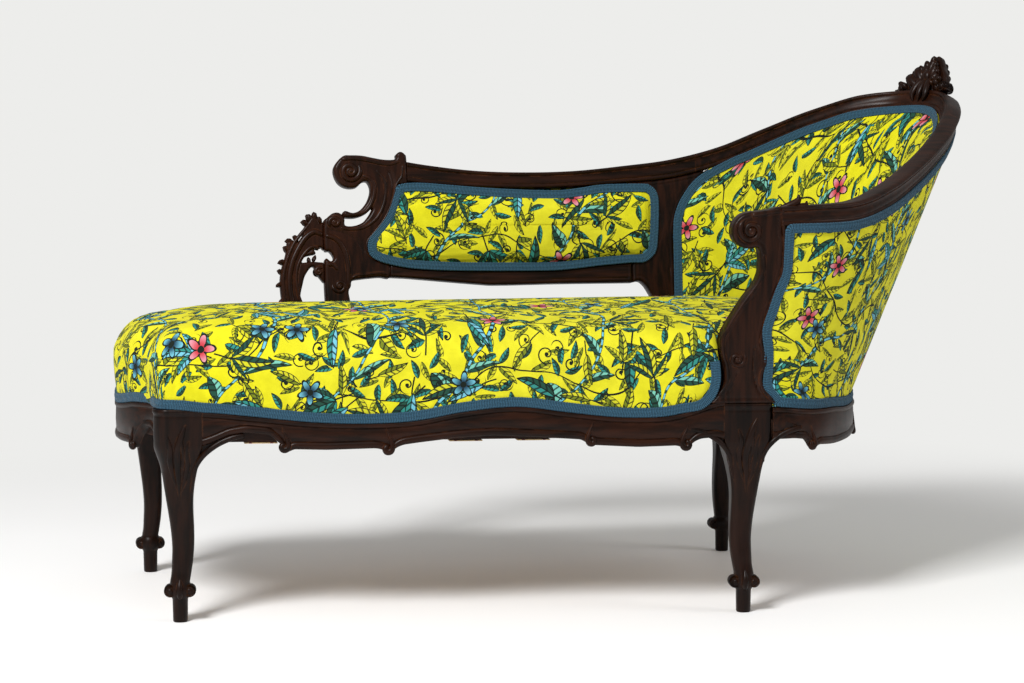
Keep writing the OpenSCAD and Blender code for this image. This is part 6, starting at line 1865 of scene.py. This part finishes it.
braid_section = np.array([
    [-0.5, 0.02], [-0.5, 0.5], [-0.43, 0.82], [-0.35, 0.8], [-0.28, 0.62], [-0.12, 0.9], [0, 0.98], [0.12, 0.9],
    [0.28, 0.62], [0.35, 0.8], [0.43, 0.82], [0.5, 0.5], [0.5, 0.02]]) * [braid_w, braid_t]


def braid(points, out, lift, loop=False):
    """Woven braid along a line on the cloth, with its face turned outwards."""
    line, out = even(points, out, loop=loop)
    if loop:
        line, out = line[:-1], out[:-1]
        d = unit(np.roll(line, -1, axis=0) - np.roll(line, 1, axis=0))
    else:
        d = unit(np.gradient(line, axis=0))
    out = unit(out - d * (out * d).sum(-1, keepdims=True))
    side = np.cross(d, out)
    n = np.arange(len(line))
    rib = np.cos(n * 2 * np.pi * braid_step / rib_gap)[:, None]
    a = braid_section[None, :, 0] * (1 + 0.035 * rib)
    h = braid_section[None, :, 1] * (1 + 0.13 * rib) + lift
    rings = line[:, None] + side[:, None] * a[..., None] + out[:, None] * h[..., None]
    uv = stack(n[:, None] * 0.0015, a * MM)
    return tube(rings, uv, loop=loop)


keys = [("back corner", [90, 135, 180]), ("foot", np.linspace(0.06, 0.95, 13)), ("front corner", [0, 45, 90]),
        ("front", [rail_start]), ("front", np.linspace(0.07, 0.885, 23))]
line, outs = [], []
lift = np.array([bulge * 0.68 + clear])
for run, ks in keys:
    ks = np.asarray(ks, float)
    z = run_low(run, ks) + braid_w / 2
    p = run_plan(run, ks, z, np.zeros(len(ks)), np.repeat(lift, len(ks)))
    if run == "back corner":
        p = p + stack(np.cos(np.radians(ks)), np.sin(np.radians(ks))) * lift
    line.append(np.column_stack([p, z]))
    a = np.radians(ks)[:, None]
    flat_out = (foot_out(ks) if run == "foot" else np.repeat(front_out[None], len(ks), 0) if run == "front"
                else stack(np.cos(a[:, 0]), np.sin(a[:, 0])) if run == "back corner"
                else front_out * np.sin(a) - front_dir * np.cos(a))
    outs.append(np.column_stack([flat_out, np.zeros(len(ks))]))
h = np.array([330.5, 341, 356, 372, 386, 399])
x = np.array([-79, -64, -55, -52, -52.5, -54])
line.append(np.column_stack([arm_leg + front_dir * x[:, None] + front_out * (face_out - cover_set + bulge), h]))
outs.append(np.repeat(two_d(front_out)[None], len(h), 0))
make("seat_edge_braid", braid(np.concatenate(line), np.concatenate(outs), -0.4), blue_braid, "seat_braid")

edge_u, edge_v = 0.006, braid_w * 0.24 / wall_height
path = np.concatenate([
    stack(edge_u, np.linspace(0.28, 1 - edge_v, 6)), stack(np.linspace(0.04, 0.96, 27), 1 - edge_v),
    stack(1 - edge_u, np.linspace(0.95, 0.26, 9))])
u, v = path.T
shape = braid(wall_point(u, v, -wall_t / 2 - 6 + 0 * u), -wall_out(wall_at(u, v)), -0.2)
make("wall_inner_edge_braid", shape, blue_braid, "wall_inner_braid")
edge_u, edge_v = 0.0052, braid_w * 0.44 / wall_height
path = np.concatenate([
    stack(edge_u - 0.0036 * np.linspace(0.06, 0.95, 9), np.linspace(0.06, 0.95, 9)),
    stack([edge_u - 0.002, 0.009], [0.98, 1 - edge_v + 0.003]),
    stack(np.linspace(0.04, 0.975, 28), 1 - edge_v), stack(1 - edge_u, np.linspace(0.94, 0.06, 7)),
    stack([1 - edge_u - 0.002, 0.985], [-0.2, -0.42]), stack(np.linspace(0.965, 0.028, 26), -0.47),
    stack([0.013, edge_u + 0.001], [-0.44, -0.2])])
u, v = path.T
o = wall_t / 2 + cover_t + 5 * clear
s = wall_at(u, np.maximum(v, 0))
d = head_out(s)
outs = np.where((v < 0)[:, None], stack(d[:, 0], d[:, 1], 0), wall_out(wall_at(u, np.maximum(v, 0))))
shape = braid(skirt(u, v, o + 0 * u), outs, -0.2, loop=True)
make("wall_outer_edge_braid", shape, blue_braid, "wall_outer_braid")
for name, node, depth, grow, way in (
        ("panel_front_braid", "panel_braid", -cover_t - clear, -braid_w * 0.42, -1),
        ("panel_back_braid", "panel_outer_braid", (back_t + rim_t) / 2 + cover_t + 2 * clear, braid_w * 0.2, 1)):
    a = moved_out(panel_outline(6), grow)[::3]
    flat_line = np.column_stack([a, np.full(len(a), depth)])
    points, _, _ = on_back((flat_line, [], None))
    way_out = np.array([0, math.cos(rake), -math.sin(rake)]) * way
    make(name, braid(points, np.repeat(way_out[None], len(points), 0), -0.2, loop=True), blue_braid, node)

# %% [markdown]
# ## Plain wood inside the frame
#
# The hidden parts keep their exact shape and only get plain, unpolished wood.

# %% Finish of the hidden frame
for name in ("corner_blocks", "rail_dowels", "wall_uprights", "back_seat_rail"):
    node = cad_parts[name]
    for i in range(max(1, len(node.material_slots))):
        if i < len(node.material_slots):
            node.material_slots[i].material = raw_wood
        else:
            node.data.materials.append(raw_wood)

# %% [markdown]
# ## Floor, light and camera
#
# A white floor and a white surround, one large soft light from the front left and a weaker one from
# the right. The camera stands low and far away, as for a sale catalogue.

# %% Setting
pale = tint("EDEDEB")
floor_z = -0.0004
mesh = bpy.data.meshes.new("floor")
mesh.from_pydata([(x, y, floor_z) for x, y in ((-14, -14), (14, -14), (14, 14), (-14, 14))], [], [(0, 1, 2, 3)])
ground, tree, shader = material("floor_white", 0.6, Base_Color=(0.9, 0.9, 0.9, 1.0))
mesh.materials.append(ground)
# far from the couch the camera sees the floor as plain white, so that it has no horizon
away = add(tree, "VectorMath", {0: add(tree, "TexCoord").outputs["Object"]}, operation="LENGTH").outputs["Value"]
seen_white = Value(tree, away).ramp(1.0, 2.0) * Value(tree, add(tree, "LightPath").outputs["Is Camera Ray"])
plain_white = add(tree, "Emission", {0: (*pale, 1)})
fade_mix = add(tree, "MixShader", {0: seen_white, 1: shader.outputs[0], 2: plain_white.outputs[0]})
put(tree, next(n for n in tree.nodes if n.type == "OUTPUT_MATERIAL").inputs[0], fade_mix.outputs[0])
floor = bpy.data.objects.new("floor", mesh)
bpy.context.scene.collection.objects.link(floor)

world = bpy.data.worlds.new("white_surround")
bpy.context.scene.world = world
world.use_nodes = True
tree = world.node_tree
tree.nodes.clear()
seen = add(tree, "Background", {0: (*pale, 1), 1: 1.0})
lit = add(tree, "Background", {0: (1.0, 0.99, 0.97, 1), 1: 0.42})
by_camera = add(tree, "LightPath").outputs["Is Camera Ray"]
pick = add(tree, "MixShader", {0: by_camera, 1: lit.outputs[0], 2: seen.outputs[0]})
put(tree, add(tree, "OutputWorld").inputs[0], pick.outputs[0])


def area_light(name, at, aim, size, power):
    data = bpy.data.lights.new(name, "AREA")
    data.shape, data.size, data.size_y, data.energy = "RECTANGLE", size[0], size[1], power
    light = bpy.data.objects.new(name, data)
    light.location = at
    light.rotation_euler = (mathutils.Vector(aim) - mathutils.Vector(at)).to_track_quat("-Z", "Y").to_euler()
    bpy.context.scene.collection.objects.link(light)


area_light("soft_key", (-2.7, -2.9, 4.0), (0, 0, 0.3), (1.5, 1.5), 330)
area_light("soft_side", (3.2, -1.6, 2.4), (0.2, 0, 0.4), (1.2, 1.2), 26)

data = bpy.data.cameras.new("camera")
focal_px, photo_px = 2500, 1024
data.sensor_width, data.lens = 36.0, focal_px / photo_px * 36
data.clip_end = 60
camera = bpy.data.objects.new("camera", data)
yaw, pitch_down = math.radians(11.38), math.atan((341.5 - 100) / focal_px)
level_out = math.cos(pitch_down)
forward = np.array([math.sin(yaw) * level_out, math.cos(yaw) * level_out, -math.sin(pitch_down)])
camera.location = (-0.891, -4.003, 0.80)
camera.rotation_euler = mathutils.Vector(forward).to_track_quat("-Z", "Y").to_euler()
bpy.context.scene.collection.objects.link(camera)
bpy.context.scene.camera = camera
bpy.context.scene.view_settings.view_transform = "Standard"
